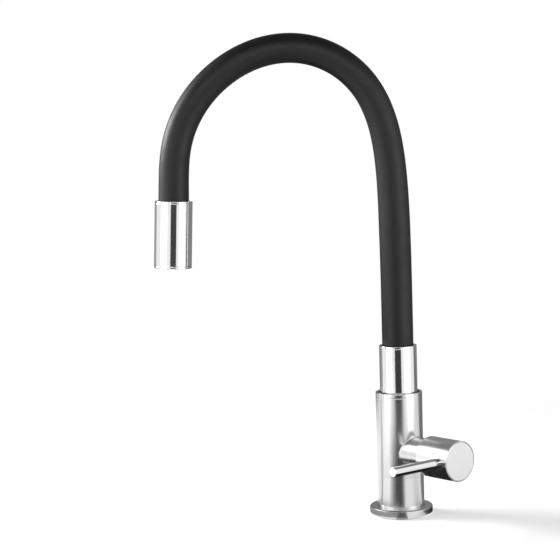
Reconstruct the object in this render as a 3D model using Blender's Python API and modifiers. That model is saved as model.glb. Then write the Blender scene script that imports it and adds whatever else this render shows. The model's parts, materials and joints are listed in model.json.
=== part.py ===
"""Flexible kitchen faucet for cold water: a steel column with a quarter-turn valve at its side, and a
black gooseneck hose that swivels in the column's top, keeps any bend it is given and ends in a bright
outlet sleeve with an aerator.

Metres, +Z up. The origin is on the column's axis, on the deck that the base gasket rests on. The hose
arches over to -X in the XZ plane. Every piece is a separate solid, and the pieces that turn together
hang on an empty that stands on their joint's axis.
"""

import math

import bmesh
import bpy
import numpy as np
from mathutils import Matrix, Vector

# Gaps and edges that many pieces share
FIT_GAP = 0.0003
OVERRUN = 0.0020
EDGE = 0.0004
MERGE_DISTANCE = 0.00001

# Column, its base and the welded stub that carries the valve
COLUMN_RADIUS = 0.0175
COLUMN_WALL = 0.0020
COLUMN_TOP = 0.0935
COLUMN_EDGE = 0.0007
FLANGE_RADIUS = 0.0237
FLANGE_TOP = 0.0070
FLANGE_TOP_EDGE = 0.0008
FLANGE_FOOT_EDGE = 0.0015
GASKET_RADIUS = 0.0210
GASKET_BORE = 0.0120
GASKET_THICKNESS = 0.0015
GASKET_STAND = 0.0005
STUB_RADIUS = 0.0125
STUB_BORE = 0.0106
STUB_END = 0.0345

# Waterway inside the column: the inlet socket below, the valve seat at its side
VALVE_HEIGHT = 0.0480
INLET_RADIUS = 0.0093
INLET_TOP = 0.0140
WATERWAY_FOOT_TOP = 0.0220
WATERWAY_SHOULDER = 0.0030
WATERWAY_NECK_RADIUS = 0.0070
WATERWAY_TOP = 0.0580
WATERWAY_BORE = 0.0040
SEAT_BOSS_RADIUS = 0.0088
SEAT_FACE = 0.0092
FOOT_SEAL_HEIGHT = 0.0185
FOOT_SEAL_THICKNESS = 0.0015

# Quarter-turn headwork, measured outwards along the handle's axis from the column's axis
HANDLE_AZIMUTH_DEGREES = -50.0
CAGE_RADIUS = 0.0093
CAGE_BORE = 0.0085
CAGE_START = 0.0098
CAGE_END = 0.0198
WINDOW_WIDTH = 0.0080
THREAD_RADIUS = 0.0103
THREAD_START = 0.0260
SHOULDER_RADIUS = 0.0122
SHOULDER_THICKNESS = 0.0010
HEXAGON_RADIUS = 0.0119
HEXAGON_THICKNESS = 0.0035
NECK_RADIUS = 0.0070
NECK_LENGTH = 0.0035
STUB_GASKET_THICKNESS = 0.0012
SEAT_WASHER_THICKNESS = 0.0018
SEAT_WASHER_BORE = 0.0067
DISC_RADIUS = 0.0082
DISC_THICKNESS = 0.0025
PORT_OUTER = 0.0063
PORT_INNER = 0.0020
PORT_SPAN_DEGREES = 76.0
DRIVE_RADIUS = 0.0079
DRIVE_THICKNESS = 0.0020
LUG_WIDTH = 0.0020
LUG_INNER = 0.0063
LUG_OUTER = 0.0075
LUG_REACH = 0.0020
SPINDLE_RADIUS = 0.0045
SPINDLE_SEAL_PLACE = 0.0310
SPINDLE_SEAL_THICKNESS = 0.0010
CLIP_THICKNESS = 0.0008
CLIP_REACH = 0.0017
CLIP_DEPTH = 0.0009
SPLINE_START = 0.0470
SPLINE_END = 0.0550
SPLINE_TIP = 0.0042
SPLINE_ROOT = 0.0036
SPLINE_TEETH = 10
SPLINE_TIP_SHARE = 0.34
SPLINE_ROOT_SHARE = 0.46

# Handle: a round hub with a cap over its screw, and a thin lever rod set into its side
HUB_RADIUS = 0.0150
HUB_BACK = 0.0317
HUB_FACE = 0.0626
HUB_CAVITY = 0.0131
HUB_CAVITY_END = 0.0465
HUB_EDGE = 0.0003
HUB_WEB = 0.0020
CAP_RADIUS = 0.0142
CAP_THICKNESS = 0.0012
SCREW_RADIUS = 0.0019
SCREW_HEAD_RADIUS = 0.0035
SCREW_HEAD_THICKNESS = 0.0026
SCREW_LENGTH = 0.0080
SCREW_SOCKET_RADIUS = 0.0014
SCREW_SOCKET_DEPTH = 0.0016
LEVER_RADIUS = 0.0037
LEVER_PLACE = 0.0543
LEVER_ROOT = 0.0088
LEVER_TIP = 0.0602

# Swivel in the column's top
FERRULE_RADIUS = 0.0141
FERRULE_BORE = 0.0121
FERRULE_TOP = 0.1285
MOUTH_RADIUS = 0.0133
MOUTH_DEPTH = 0.0030
BUSH_BOTTOM = 0.0655
BUSH_TOP = 0.0785
BUSH_BORE = 0.0103
THRUST_THICKNESS = 0.0010
COLLAR_THICKNESS = 0.0016
COLLAR_RADIUS = 0.0140
SPIGOT_RADIUS = 0.0100
SPIGOT_BOTTOM = 0.0630
SPIGOT_BORE = 0.0065
SPIGOT_BORE_TOP = 0.0900
SPIGOT_HEAD_TOP = 0.0960
SWIVEL_SEAL_THICKNESS = 0.0015
LOWER_SEAL_RISE = 0.0035
UPPER_SEAL_DROP = 0.0040
SNAP_THICKNESS = 0.0010
SNAP_REACH = 0.0018
SNAP_DEPTH = 0.0015
GUIDE_HEIGHT = 0.0050
GUIDE_DROP = 0.0012
TAIL_RADIUS = 0.0029
TAIL_BARB = 0.0005
TAIL_BORE = 0.0018
TAIL_BARBS = 3

# Hose: a silicone skin over a ribbed gooseneck core, with the water liner inside
HOSE_LENGTH = 0.4220
SKIN_RADIUS = 0.01175
SKIN_BORE = 0.0099
CORE_RADIUS = 0.0090
CORE_GROOVE = 0.0083
CORE_BORE = 0.0066
CORE_RIB_PITCH = 0.0120
LINER_RADIUS = 0.0057
LINER_BORE = 0.0043
SKIN_RING_SPACING = 0.0130
INNER_RING_SPACING = 0.0150
END_STEP = 0.0010
HOSE_JOINTS = 7
# Places along the visible hose, and how fast it leans over there, in degrees for its whole length
BEND_PLACE_SHARES = (0.0, 0.22, 0.32, 0.40, 0.46, 0.60, 0.75, 0.90, 1.0)
BEND_RATE_DEGREES = (0.0, 10.0, 72.0, 209.0, 340.0, 354.0, 248.0, 284.0, -66.0)
# The skin's width at the same places: it is stretched thinner over the arch
SKIN_WIDTH_SHARES = (1.0, 1.0, 0.97, 0.95, 0.94, 0.94, 0.94, 0.95, 0.97)
ROUTE_SAMPLES = 1400

# Outlet sleeve and aerator, measured down from the sleeve's upper rim
SLEEVE_RADIUS = 0.0141
SLEEVE_LENGTH = 0.0500
SLEEVE_BORE = 0.0121
SLEEVE_THREAD_BORE = 0.0126
SLEEVE_THREAD_TOP = 0.0240
OUTLET_BODY_TOP = 0.0206
OUTLET_BODY_BOTTOM = 0.0340
OUTLET_BODY_RADIUS = 0.0118
OUTLET_FUNNEL = 0.0080
OUTLET_TAIL_TOP = 0.0050
AERATOR_RADIUS = 0.0123
AERATOR_BORE = 0.0094
AERATOR_RECESS = 0.0006
AERATOR_LEDGE = 0.0015
AERATOR_LEDGE_BOTTOM = 0.0400
AERATOR_SEAL_THICKNESS = 0.0017
INSERT_RADIUS = 0.0091
INSERT_BOTTOM = 0.0460
INSERT_SLOT_WIDTH = 0.0010
INSERT_SLOT_INNER = 0.0030
INSERT_SLOT_OUTER = 0.0080
INSERT_SLOTS = 12
SCREEN_THICKNESS = 0.0010
SCREEN_HOLE = 0.0016
SCREEN_HOLE_RING = 0.0055
SCREEN_HOLES = 6

# Facets
WIDE_STEPS = 36
FINE_STEPS = 28
MIDDLE_STEPS = 24
INNER_STEPS = 16
SMALL_STEPS = 12
HOLE_STEPS = 6
HEXAGON_SIDES = 6
PORT_OUTER_POINTS = 9
PORT_INNER_POINTS = 4
SEAL_SEGMENTS = 16
SEAL_SIDES = 5
SKIN_SIDES = 18
CORE_SIDES = 8
LINER_SIDES = 6
HARD_EDGE_DEGREES = 30.0

# Sizes that follow from those above
COLUMN_BORE = COLUMN_RADIUS - COLUMN_WALL
COLUMN_BOTTOM = GASKET_THICKNESS + FIT_GAP
INSIDE_COLUMN = COLUMN_BORE - FIT_GAP
LOWER_SEAL_HEIGHT = BUSH_BOTTOM + LOWER_SEAL_RISE
UPPER_SEAL_HEIGHT = BUSH_TOP - UPPER_SEAL_DROP
THRUST_BOTTOM = BUSH_TOP + FIT_GAP
COLLAR_BOTTOM = THRUST_BOTTOM + THRUST_THICKNESS + FIT_GAP
COLLAR_TOP = COLLAR_BOTTOM + COLLAR_THICKNESS
TAIL_TOP = FERRULE_TOP - MOUTH_DEPTH
WASHER_START = SEAT_FACE + FIT_GAP
FIXED_DISC_START = WASHER_START + SEAT_WASHER_THICKNESS + FIT_GAP
TURNING_DISC_START = FIXED_DISC_START + DISC_THICKNESS + FIT_GAP
DRIVE_START = TURNING_DISC_START + DISC_THICKNESS + FIT_GAP
STUB_GASKET_END = STUB_END + FIT_GAP + STUB_GASKET_THICKNESS
SHOULDER_START = STUB_GASKET_END + FIT_GAP
SHOULDER_END = SHOULDER_START + SHOULDER_THICKNESS
HEXAGON_END = SHOULDER_END + HEXAGON_THICKNESS
NECK_END = HEXAGON_END + NECK_LENGTH
CLIP_START = NECK_END + FIT_GAP
SCREW_SEAT = SPLINE_END + FIT_GAP + HUB_WEB
SCREW_HEAD_START = SCREW_SEAT + FIT_GAP
CAP_SEAT = HUB_FACE - CAP_THICKNESS - FIT_GAP
HOSE_START = SPIGOT_HEAD_TOP + FIT_GAP - FERRULE_TOP
HOSE_END = HOSE_LENGTH + OUTLET_BODY_TOP - FIT_GAP
HOSE_PITCH = HOSE_LENGTH / HOSE_JOINTS


def new_collection(name):
    group = bpy.data.collections.new(name)
    bpy.context.scene.collection.children.link(group)
    return group


def make_material(name, colour, roughness, metallic):
    material = bpy.data.materials.new(name)
    material.use_nodes = True
    shader = material.node_tree.nodes["Principled BSDF"]
    shader.inputs["Base Color"].default_value = (*colour, 1.0)
    shader.inputs["Roughness"].default_value = roughness
    shader.inputs["Metallic"].default_value = metallic
    return material


def make_materials():
    return {
        "brushed_steel": make_material("brushed_steel", (0.62, 0.62, 0.61), 0.34, 1.0),
        "polished_steel": make_material("polished_steel", (0.80, 0.80, 0.81), 0.08, 1.0),
        "satin_steel": make_material("satin_steel", (0.72, 0.72, 0.71), 0.22, 1.0),
        "spring_steel": make_material("spring_steel", (0.45, 0.45, 0.46), 0.35, 1.0),
        "black_silicone": make_material("black_silicone", (0.022, 0.022, 0.025), 0.48, 0.0),
        "black_rubber": make_material("black_rubber", (0.03, 0.03, 0.03), 0.70, 0.0),
        "brass": make_material("brass", (0.72, 0.55, 0.27), 0.30, 1.0),
        "white_ceramic": make_material("white_ceramic", (0.86, 0.85, 0.82), 0.15, 0.0),
        "white_plastic": make_material("white_plastic", (0.78, 0.78, 0.76), 0.45, 0.0),
        "grey_plastic": make_material("grey_plastic", (0.10, 0.10, 0.11), 0.45, 0.0),
    }


def place(part, frame):
    """Adds an object to the faucet and hangs it on its frame."""
    faucet.objects.link(part)
    part.parent = frame
    return part


def add_frame(name, location, rotation, parent):
    """An empty on a joint's axis, or on the axis that a group of pieces is turned about."""
    frame = bpy.data.objects.new(name, None)
    frame.location = location
    frame.rotation_euler = rotation
    return place(frame, parent)


def hide_cutter(part):
    """Takes a shape out of the model and keeps it as a wire guide."""
    faucet.objects.unlink(part)
    cutters.objects.link(part)
    part.hide_render = True
    part.display_type = "WIRE"
    return part


def evaluated_mesh(part):
    """The mesh that a curve or an object with modifiers makes, with doubled points welded."""
    bpy.context.view_layer.update()
    graph = bpy.context.evaluated_depsgraph_get()
    mesh = bpy.data.meshes.new_from_object(part.evaluated_get(graph))
    shape = bmesh.new()
    shape.from_mesh(mesh)
    bmesh.ops.remove_doubles(shape, verts=shape.verts, dist=MERGE_DISTANCE)
    shape.to_mesh(mesh)
    shape.free()
    return mesh


def as_mesh(curve):
    """Puts a mesh object in a curve's place, its caps welded to its sides."""
    mesh = evaluated_mesh(curve)
    name, frame, matrix = curve.name, curve.parent, curve.matrix_basis.copy()
    bpy.data.objects.remove(curve)
    mesh.name = name
    solid = place(bpy.data.objects.new(name, mesh), frame)
    solid.matrix_basis = matrix
    return solid


def boolean(part, operation, other):
    modifier = part.modifiers.new(operation.title(), "BOOLEAN")
    modifier.operation = operation
    modifier.object = hide_cutter(other)


def cut(part, cutter):
    boolean(part, "DIFFERENCE", cutter)


def join(part, other):
    boolean(part, "UNION", other)


def finish(part, material):
    """Settles a piece's modifiers into its mesh, shades it smooth between hard edges and colours it."""
    mesh = evaluated_mesh(part)
    mesh.name = part.name
    part.modifiers.clear()
    part.data = mesh
    mesh.shade_smooth()
    mesh.set_sharp_from_angle(angle=math.radians(HARD_EDGE_DEGREES))
    mesh.materials.clear()
    mesh.materials.append(materials[material])


def turned(name, profile, steps, frame=None, closed=True):
    """Turns a profile of (radius, height) points about Z. A closed profile makes a ring; an open one
    begins and ends on the axis. It runs down the outside, so that the faces point out."""
    points = [(radius, 0.0, height) for radius, height in profile]
    edges = [(i, i + 1) for i in range(len(points) - 1)]
    if closed:
        edges.append((len(points) - 1, 0))
    mesh = bpy.data.meshes.new(name)
    mesh.from_pydata(points, edges, [])
    part = place(bpy.data.objects.new(name, mesh), frame)
    screw = part.modifiers.new("Turn", "SCREW")
    screw.axis = "Z"
    screw.angle = math.tau
    screw.steps = steps
    screw.render_steps = steps
    screw.use_merge_vertices = True
    screw.merge_threshold = MERGE_DISTANCE
    return part


def rod(name, radius, top, bottom, steps, frame=None, edge=0.0):
    """A round bar between two heights, with both ends chamfered where it has an edge."""
    if edge:
        profile = [
            (0.0, top),
            (radius - edge, top),
            (radius, top - edge),
            (radius, bottom + edge),
            (radius - edge, bottom),
            (0.0, bottom),
        ]
    else:
        profile = [(0.0, top), (radius, top), (radius, bottom), (0.0, bottom)]
    return turned(name, profile, steps, frame, closed=False)


def tube(name, outer, bore, top, bottom, steps, frame=None):
    """A plain ring with square edges."""
    profile = [(outer, top), (outer, bottom), (bore, bottom), (bore, top)]
    return turned(name, profile, steps, frame)


def seal_ring(name, middle_radius, thickness, height, frame=None):
    """An O-ring in its groove."""
    bpy.ops.mesh.primitive_torus_add(
        major_radius=middle_radius,
        minor_radius=thickness / 2,
        major_segments=SEAL_SEGMENTS,
        minor_segments=SEAL_SIDES,
    )
    ring = bpy.context.object
    for group in list(ring.users_collection):
        group.objects.unlink(ring)
    ring.name = name
    ring.location = (0.0, 0.0, height)
    finish(place(ring, frame), "black_rubber")


def plate(name, outline, top, bottom, frame=None):
    """A flat outline of (x, y) points, extruded between two heights."""
    curve = bpy.data.curves.new(name, "CURVE")
    curve.dimensions = "2D"
    curve.fill_mode = "BOTH"
    curve.extrude = (top - bottom) / 2
    spline = curve.splines.new("POLY")
    spline.points.add(len(outline) - 1)
    for point, (x, y) in zip(spline.points, outline):
        point.co = (x, y, 0.0, 1.0)
    spline.use_cyclic_u = True
    part = place(bpy.data.objects.new(name, curve), frame)
    part.location = (0.0, 0.0, (top + bottom) / 2)
    return as_mesh(part)


def block(name, low, high, frame=None):
    """A box between two corners."""
    low, high = Vector(low), Vector(high)
    mesh = bpy.data.meshes.new(name)
    shape = bmesh.new()
    bmesh.ops.create_cube(shape, size=1.0)
    bmesh.ops.scale(shape, verts=shape.verts, vec=high - low)
    bmesh.ops.translate(shape, verts=shape.verts, vec=(high + low) / 2)
    shape.to_mesh(mesh)
    shape.free()
    return place(bpy.data.objects.new(name, mesh), frame)


def arc(radius, start, end, count):
    """Points of an arc about the origin, between two angles in degrees."""
    angles = np.radians(np.linspace(start, end, count))
    return [(radius * math.cos(angle), radius * math.sin(angle)) for angle in angles]


def ring_of_points(radius, count):
    return arc(radius, 0.0, 360.0, count + 1)[:-1]


def open_ring(name, inner, outer, bottom, thickness, frame=None):
    """A spring clip: a flat ring with a mouth to push it on by."""
    clip = tube(name, outer, inner, bottom + thickness, bottom, INNER_STEPS, frame)
    low = (0.0, -inner / 2, bottom - OVERRUN)
    high = (outer + OVERRUN, inner / 2, bottom + thickness + OVERRUN)
    cut(clip, block("clip_mouth", low, high, frame))
    finish(clip, "spring_steel")


# Column and base


def make_column():
    """The turned tube with its welded stub. Both bores go in last, so no wall is left across them."""
    column = rod("column_body", COLUMN_RADIUS, COLUMN_TOP, COLUMN_BOTTOM, WIDE_STEPS, edge=COLUMN_EDGE)
    join(column, rod("stub", STUB_RADIUS, STUB_END, 0.0, FINE_STEPS, valve_axis))
    rim = COLUMN_BORE + EDGE
    bore = [
        (0.0, COLUMN_TOP + OVERRUN),
        (rim, COLUMN_TOP + OVERRUN),
        (rim, COLUMN_TOP),
        (COLUMN_BORE, COLUMN_TOP - EDGE),
        (COLUMN_BORE, COLUMN_BOTTOM - OVERRUN),
        (0.0, COLUMN_BOTTOM - OVERRUN),
    ]
    cut(column, turned("column_bore", bore, WIDE_STEPS, closed=False))
    cut(column, rod("stub_bore", STUB_BORE, STUB_END + OVERRUN, 0.0, INNER_STEPS, valve_axis))
    finish(column, "brushed_steel")


def make_base():
    """The cover ring round the column's foot, and the gasket that it and the column stand on."""
    recess = GASKET_RADIUS + FIT_GAP
    bore = COLUMN_RADIUS + FIT_GAP
    profile = [
        (FLANGE_RADIUS - FLANGE_TOP_EDGE, FLANGE_TOP),
        (FLANGE_RADIUS, FLANGE_TOP - FLANGE_TOP_EDGE),
        (FLANGE_RADIUS, GASKET_STAND + FLANGE_FOOT_EDGE),
        (FLANGE_RADIUS - FLANGE_FOOT_EDGE, GASKET_STAND),
        (recess, GASKET_STAND),
        (recess, COLUMN_BOTTOM),
        (bore, COLUMN_BOTTOM),
        (bore, FLANGE_TOP),
    ]
    finish(turned("base_flange", profile, WIDE_STEPS), "brushed_steel")
    gasket = tube("base_gasket", GASKET_RADIUS, GASKET_BORE, GASKET_THICKNESS, 0.0, MIDDLE_STEPS)
    finish(gasket, "black_rubber")


def make_waterway():
    """The inlet socket and the valve seat in one brass piece: water comes in below and turns outwards to
    the seat, and what the valve lets through fills the column above the foot."""
    groove = INSIDE_COLUMN - FOOT_SEAL_THICKNESS - FIT_GAP
    half = FOOT_SEAL_THICKNESS / 2 + FIT_GAP
    profile = [
        (0.0, WATERWAY_TOP),
        (WATERWAY_NECK_RADIUS - EDGE, WATERWAY_TOP),
        (WATERWAY_NECK_RADIUS, WATERWAY_TOP - EDGE),
        (WATERWAY_NECK_RADIUS, WATERWAY_FOOT_TOP + WATERWAY_SHOULDER),
        (INSIDE_COLUMN, WATERWAY_FOOT_TOP),
        (INSIDE_COLUMN, FOOT_SEAL_HEIGHT + half),
        (groove, FOOT_SEAL_HEIGHT + half),
        (groove, FOOT_SEAL_HEIGHT - half),
        (INSIDE_COLUMN, FOOT_SEAL_HEIGHT - half),
        (INSIDE_COLUMN, COLUMN_BOTTOM),
        (INLET_RADIUS + EDGE, COLUMN_BOTTOM),
        (INLET_RADIUS, COLUMN_BOTTOM + EDGE),
        (INLET_RADIUS, INLET_TOP),
        (WATERWAY_BORE, INLET_TOP),
        (WATERWAY_BORE, VALVE_HEIGHT),
        (0.0, VALVE_HEIGHT),
    ]
    waterway = turned("inlet_waterway", profile, INNER_STEPS, closed=False)
    boss_start = WATERWAY_BORE + FIT_GAP
    join(waterway, rod("seat_boss", SEAT_BOSS_RADIUS, SEAT_FACE, boss_start, INNER_STEPS, valve_axis))
    cut(waterway, rod("seat_bore", WATERWAY_BORE, SEAT_FACE + OVERRUN, 0.0, SMALL_STEPS, valve_axis))
    finish(waterway, "brass")
    middle = INSIDE_COLUMN - FOOT_SEAL_THICKNESS / 2
    seal_ring("waterway_o_ring", middle, FOOT_SEAL_THICKNESS, FOOT_SEAL_HEIGHT)


# Quarter-turn valve, along the handle's axis


def make_headwork():
    """The brass valve body: a cage with two windows round the discs, a threaded barrel, a shoulder with
    its hexagon, and a neck that the clip runs on."""
    shaft_bore = SPINDLE_RADIUS + FIT_GAP
    profile = [
        (NECK_RADIUS - EDGE, NECK_END),
        (NECK_RADIUS, NECK_END - EDGE),
        (NECK_RADIUS, SHOULDER_END),
        (SHOULDER_RADIUS, SHOULDER_END),
        (SHOULDER_RADIUS, SHOULDER_START),
        (THREAD_RADIUS, SHOULDER_START),
        (THREAD_RADIUS, THREAD_START),
        (CAGE_RADIUS, THREAD_START - EDGE),
        (CAGE_RADIUS, CAGE_START),
        (CAGE_BORE, CAGE_START),
        (CAGE_BORE, CAGE_END),
        (shaft_bore, CAGE_END),
        (shaft_bore, NECK_END),
    ]
    headwork = turned("headwork_body", profile, INNER_STEPS, valve_axis)
    hexagon = plate(
        "hexagon",
        ring_of_points(HEXAGON_RADIUS, HEXAGON_SIDES),
        HEXAGON_END,
        SHOULDER_END - EDGE,
        valve_axis,
    )
    low = SHOULDER_END - EDGE - OVERRUN
    bore = NECK_RADIUS - EDGE
    cut(hexagon, rod("hexagon_bore", bore, HEXAGON_END + OVERRUN, low, INNER_STEPS, valve_axis))
    join(headwork, hexagon)
    reach = CAGE_RADIUS + OVERRUN
    low = (-WINDOW_WIDTH / 2, -reach, TURNING_DISC_START)
    high = (WINDOW_WIDTH / 2, reach, DRIVE_START + DRIVE_THICKNESS)
    cut(headwork, block("cage_windows", low, high, valve_axis))
    finish(headwork, "brass")


def make_valve_washers():
    """The gasket under the headwork's shoulder, and the rubber washer that presses on the seat."""
    bore = THREAD_RADIUS + FIT_GAP
    gasket = tube(
        "stub_gasket", SHOULDER_RADIUS, bore, STUB_GASKET_END, STUB_END + FIT_GAP, INNER_STEPS, valve_axis
    )
    finish(gasket, "black_rubber")
    outer = CAGE_BORE - FIT_GAP
    top = WASHER_START + SEAT_WASHER_THICKNESS
    washer = tube("seat_washer", outer, SEAT_WASHER_BORE, top, WASHER_START, INNER_STEPS, valve_axis)
    finish(washer, "black_rubber")


def cut_ports(disc, start, outer, frame):
    """Two opposite ports, as sectors of a ring."""
    for middle in (90.0, 270.0):
        first = middle - PORT_SPAN_DEGREES / 2
        last = middle + PORT_SPAN_DEGREES / 2
        outline = arc(outer, first, last, PORT_OUTER_POINTS)
        outline += arc(PORT_INNER, last, first, PORT_INNER_POINTS)
        cut(disc, plate("port", outline, start + DISC_THICKNESS + OVERRUN, start - OVERRUN, frame))


def make_discs():
    """The two ceramic discs. The fixed one has closed ports. The turning one has ports open to its rim,
    and a notch in each of its two wings, where the spindle's lugs drive it."""
    fixed_end = FIXED_DISC_START + DISC_THICKNESS
    fixed = rod("fixed_ceramic_disc", DISC_RADIUS, fixed_end, FIXED_DISC_START, INNER_STEPS, valve_axis)
    cut_ports(fixed, FIXED_DISC_START, PORT_OUTER, valve_axis)
    finish(fixed, "white_ceramic")

    start = TURNING_DISC_START
    turning_end = start + DISC_THICKNESS
    turning = rod("turning_ceramic_disc", DISC_RADIUS, turning_end, start, INNER_STEPS, handle_joint)
    cut_ports(turning, start, DISC_RADIUS + OVERRUN, handle_joint)
    half = LUG_WIDTH / 2 + FIT_GAP
    inner = LUG_INNER - FIT_GAP
    outer = DISC_RADIUS + OVERRUN
    for near, far in ((inner, outer), (-outer, -inner)):
        low = (near, -half, start - OVERRUN)
        high = (far, half, turning_end + OVERRUN)
        cut(turning, block("notch", low, high, handle_joint))
    finish(turning, "white_ceramic")


def spline_outline(gap):
    """Trapezoid teeth round the spindle's end, or the slots for them when a gap is given."""
    pitch = 360.0 / SPLINE_TEETH
    extra = math.degrees(gap / SPLINE_ROOT)
    tip_half = pitch * SPLINE_TIP_SHARE / 2 + extra
    root_half = pitch * SPLINE_ROOT_SHARE / 2 + extra
    outline = []
    for tooth in range(SPLINE_TEETH):
        middle = pitch * tooth
        outline += arc(SPLINE_ROOT + gap, middle - root_half, middle - root_half, 1)
        outline += arc(SPLINE_TIP + gap, middle - tip_half, middle + tip_half, 2)
        outline += arc(SPLINE_ROOT + gap, middle + root_half, middle + root_half, 1)
    return outline


def make_spindle():
    """The shaft that turns the upper disc: a drive plate with two lugs, a seal groove, a clip groove, and
    splines with a tapped hole for the handle's screw."""
    drive_end = DRIVE_START + DRIVE_THICKNESS
    seal_root = SPINDLE_RADIUS - SPINDLE_SEAL_THICKNESS - FIT_GAP
    seal_half = SPINDLE_SEAL_THICKNESS / 2 + FIT_GAP
    clip_root = SPINDLE_RADIUS - CLIP_DEPTH - FIT_GAP
    clip_end = CLIP_START + CLIP_THICKNESS + FIT_GAP
    core = SPLINE_ROOT - EDGE
    profile = [
        (0.0, SPLINE_START + EDGE),
        (core, SPLINE_START + EDGE),
        (core, clip_end + EDGE),
        (SPINDLE_RADIUS, clip_end + EDGE),
        (SPINDLE_RADIUS, clip_end),
        (clip_root, clip_end),
        (clip_root, CLIP_START - FIT_GAP),
        (SPINDLE_RADIUS, CLIP_START - FIT_GAP),
        (SPINDLE_RADIUS, SPINDLE_SEAL_PLACE + seal_half),
        (seal_root, SPINDLE_SEAL_PLACE + seal_half),
        (seal_root, SPINDLE_SEAL_PLACE - seal_half),
        (SPINDLE_RADIUS, SPINDLE_SEAL_PLACE - seal_half),
        (SPINDLE_RADIUS, drive_end),
        (DRIVE_RADIUS, drive_end),
        (DRIVE_RADIUS, DRIVE_START),
        (0.0, DRIVE_START),
    ]
    spindle = turned("valve_spindle", profile, INNER_STEPS, handle_joint, closed=False)
    join(spindle, plate("splines", spline_outline(0.0), SPLINE_END, SPLINE_START, handle_joint))
    for near, far in ((LUG_INNER, LUG_OUTER), (-LUG_OUTER, -LUG_INNER)):
        low = (near, -LUG_WIDTH / 2, DRIVE_START - LUG_REACH)
        high = (far, LUG_WIDTH / 2, DRIVE_START + DRIVE_THICKNESS / 2)
        join(spindle, block("lug", low, high, handle_joint))
    hole_end = SCREW_HEAD_START - SCREW_LENGTH - FIT_GAP
    hole_radius = SCREW_RADIUS + FIT_GAP
    hole_top = SPLINE_END + OVERRUN
    cut(spindle, rod("screw_hole", hole_radius, hole_top, hole_end, SMALL_STEPS, handle_joint))
    finish(spindle, "brass")
    middle = SPINDLE_RADIUS - SPINDLE_SEAL_THICKNESS / 2
    seal_ring("spindle_o_ring", middle, SPINDLE_SEAL_THICKNESS, SPINDLE_SEAL_PLACE, handle_joint)
    inner = SPINDLE_RADIUS - CLIP_DEPTH
    outer = SPINDLE_RADIUS + CLIP_REACH
    open_ring("spindle_circlip", inner, outer, CLIP_START, CLIP_THICKNESS, handle_joint)


# Handle


def make_hub():
    """The round handle: hollow behind, where it covers the hexagon, and solid in front, with slots for the
    splines, a well for the screw's head, a recess for the cap and a socket for the lever."""
    recess = CAP_RADIUS + FIT_GAP
    well = SCREW_HEAD_RADIUS + FIT_GAP
    hole = SCREW_RADIUS + FIT_GAP
    profile = [
        (recess, HUB_FACE),
        (HUB_RADIUS - HUB_EDGE, HUB_FACE),
        (HUB_RADIUS, HUB_FACE - HUB_EDGE),
        (HUB_RADIUS, HUB_BACK + EDGE),
        (HUB_RADIUS - EDGE, HUB_BACK),
        (HUB_CAVITY, HUB_BACK),
        (HUB_CAVITY, HUB_CAVITY_END),
        (hole, HUB_CAVITY_END),
        (hole, SCREW_SEAT),
        (well, SCREW_SEAT),
        (well, CAP_SEAT),
        (recess, CAP_SEAT),
    ]
    hub = turned("handle_hub", profile, FINE_STEPS, handle_joint)
    slots = plate(
        "spline_slots", spline_outline(FIT_GAP), SPLINE_END + FIT_GAP, HUB_CAVITY_END - OVERRUN, handle_joint
    )
    cut(hub, slots)
    outer = HUB_RADIUS + OVERRUN
    socket = rod("lever_socket", LEVER_RADIUS + FIT_GAP, outer, LEVER_ROOT - FIT_GAP, INNER_STEPS, lever_axis)
    cut(hub, socket)
    finish(hub, "satin_steel")


def make_hub_fittings():
    """The cap, the screw under it and the lever rod."""
    cap_start = HUB_FACE - CAP_THICKNESS
    cap = rod("handle_cap", CAP_RADIUS, HUB_FACE, cap_start, FINE_STEPS, handle_joint)
    finish(cap, "satin_steel")
    head_end = SCREW_HEAD_START + SCREW_HEAD_THICKNESS
    profile = [
        (0.0, head_end),
        (SCREW_HEAD_RADIUS - EDGE, head_end),
        (SCREW_HEAD_RADIUS, head_end - EDGE),
        (SCREW_HEAD_RADIUS, SCREW_HEAD_START),
        (SCREW_RADIUS, SCREW_HEAD_START),
        (SCREW_RADIUS, SCREW_HEAD_START - SCREW_LENGTH + EDGE),
        (SCREW_RADIUS - EDGE, SCREW_HEAD_START - SCREW_LENGTH),
        (0.0, SCREW_HEAD_START - SCREW_LENGTH),
    ]
    screw = turned("handle_screw", profile, SMALL_STEPS, handle_joint, closed=False)
    floor = head_end - SCREW_SOCKET_DEPTH
    outline = ring_of_points(SCREW_SOCKET_RADIUS, HEXAGON_SIDES)
    cut(screw, plate("screw_socket", outline, head_end + OVERRUN, floor, handle_joint))
    finish(screw, "spring_steel")
    lever = rod("lever_rod", LEVER_RADIUS, LEVER_TIP, LEVER_ROOT, INNER_STEPS, lever_axis, edge=EDGE)
    finish(lever, "polished_steel")


# Swivel


def barbed_tail(bottom, top):
    """Outline of a hose tail from its top down, with barbs that widen downwards."""
    pitch = (top - bottom) / (TAIL_BARBS + 1)
    points = [(TAIL_RADIUS, top)]
    for barb in range(TAIL_BARBS):
        crest = top - pitch * (barb + 1)
        points += [(TAIL_RADIUS + TAIL_BARB, crest), (TAIL_RADIUS, crest)]
    points.append((TAIL_RADIUS, bottom))
    return points


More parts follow.
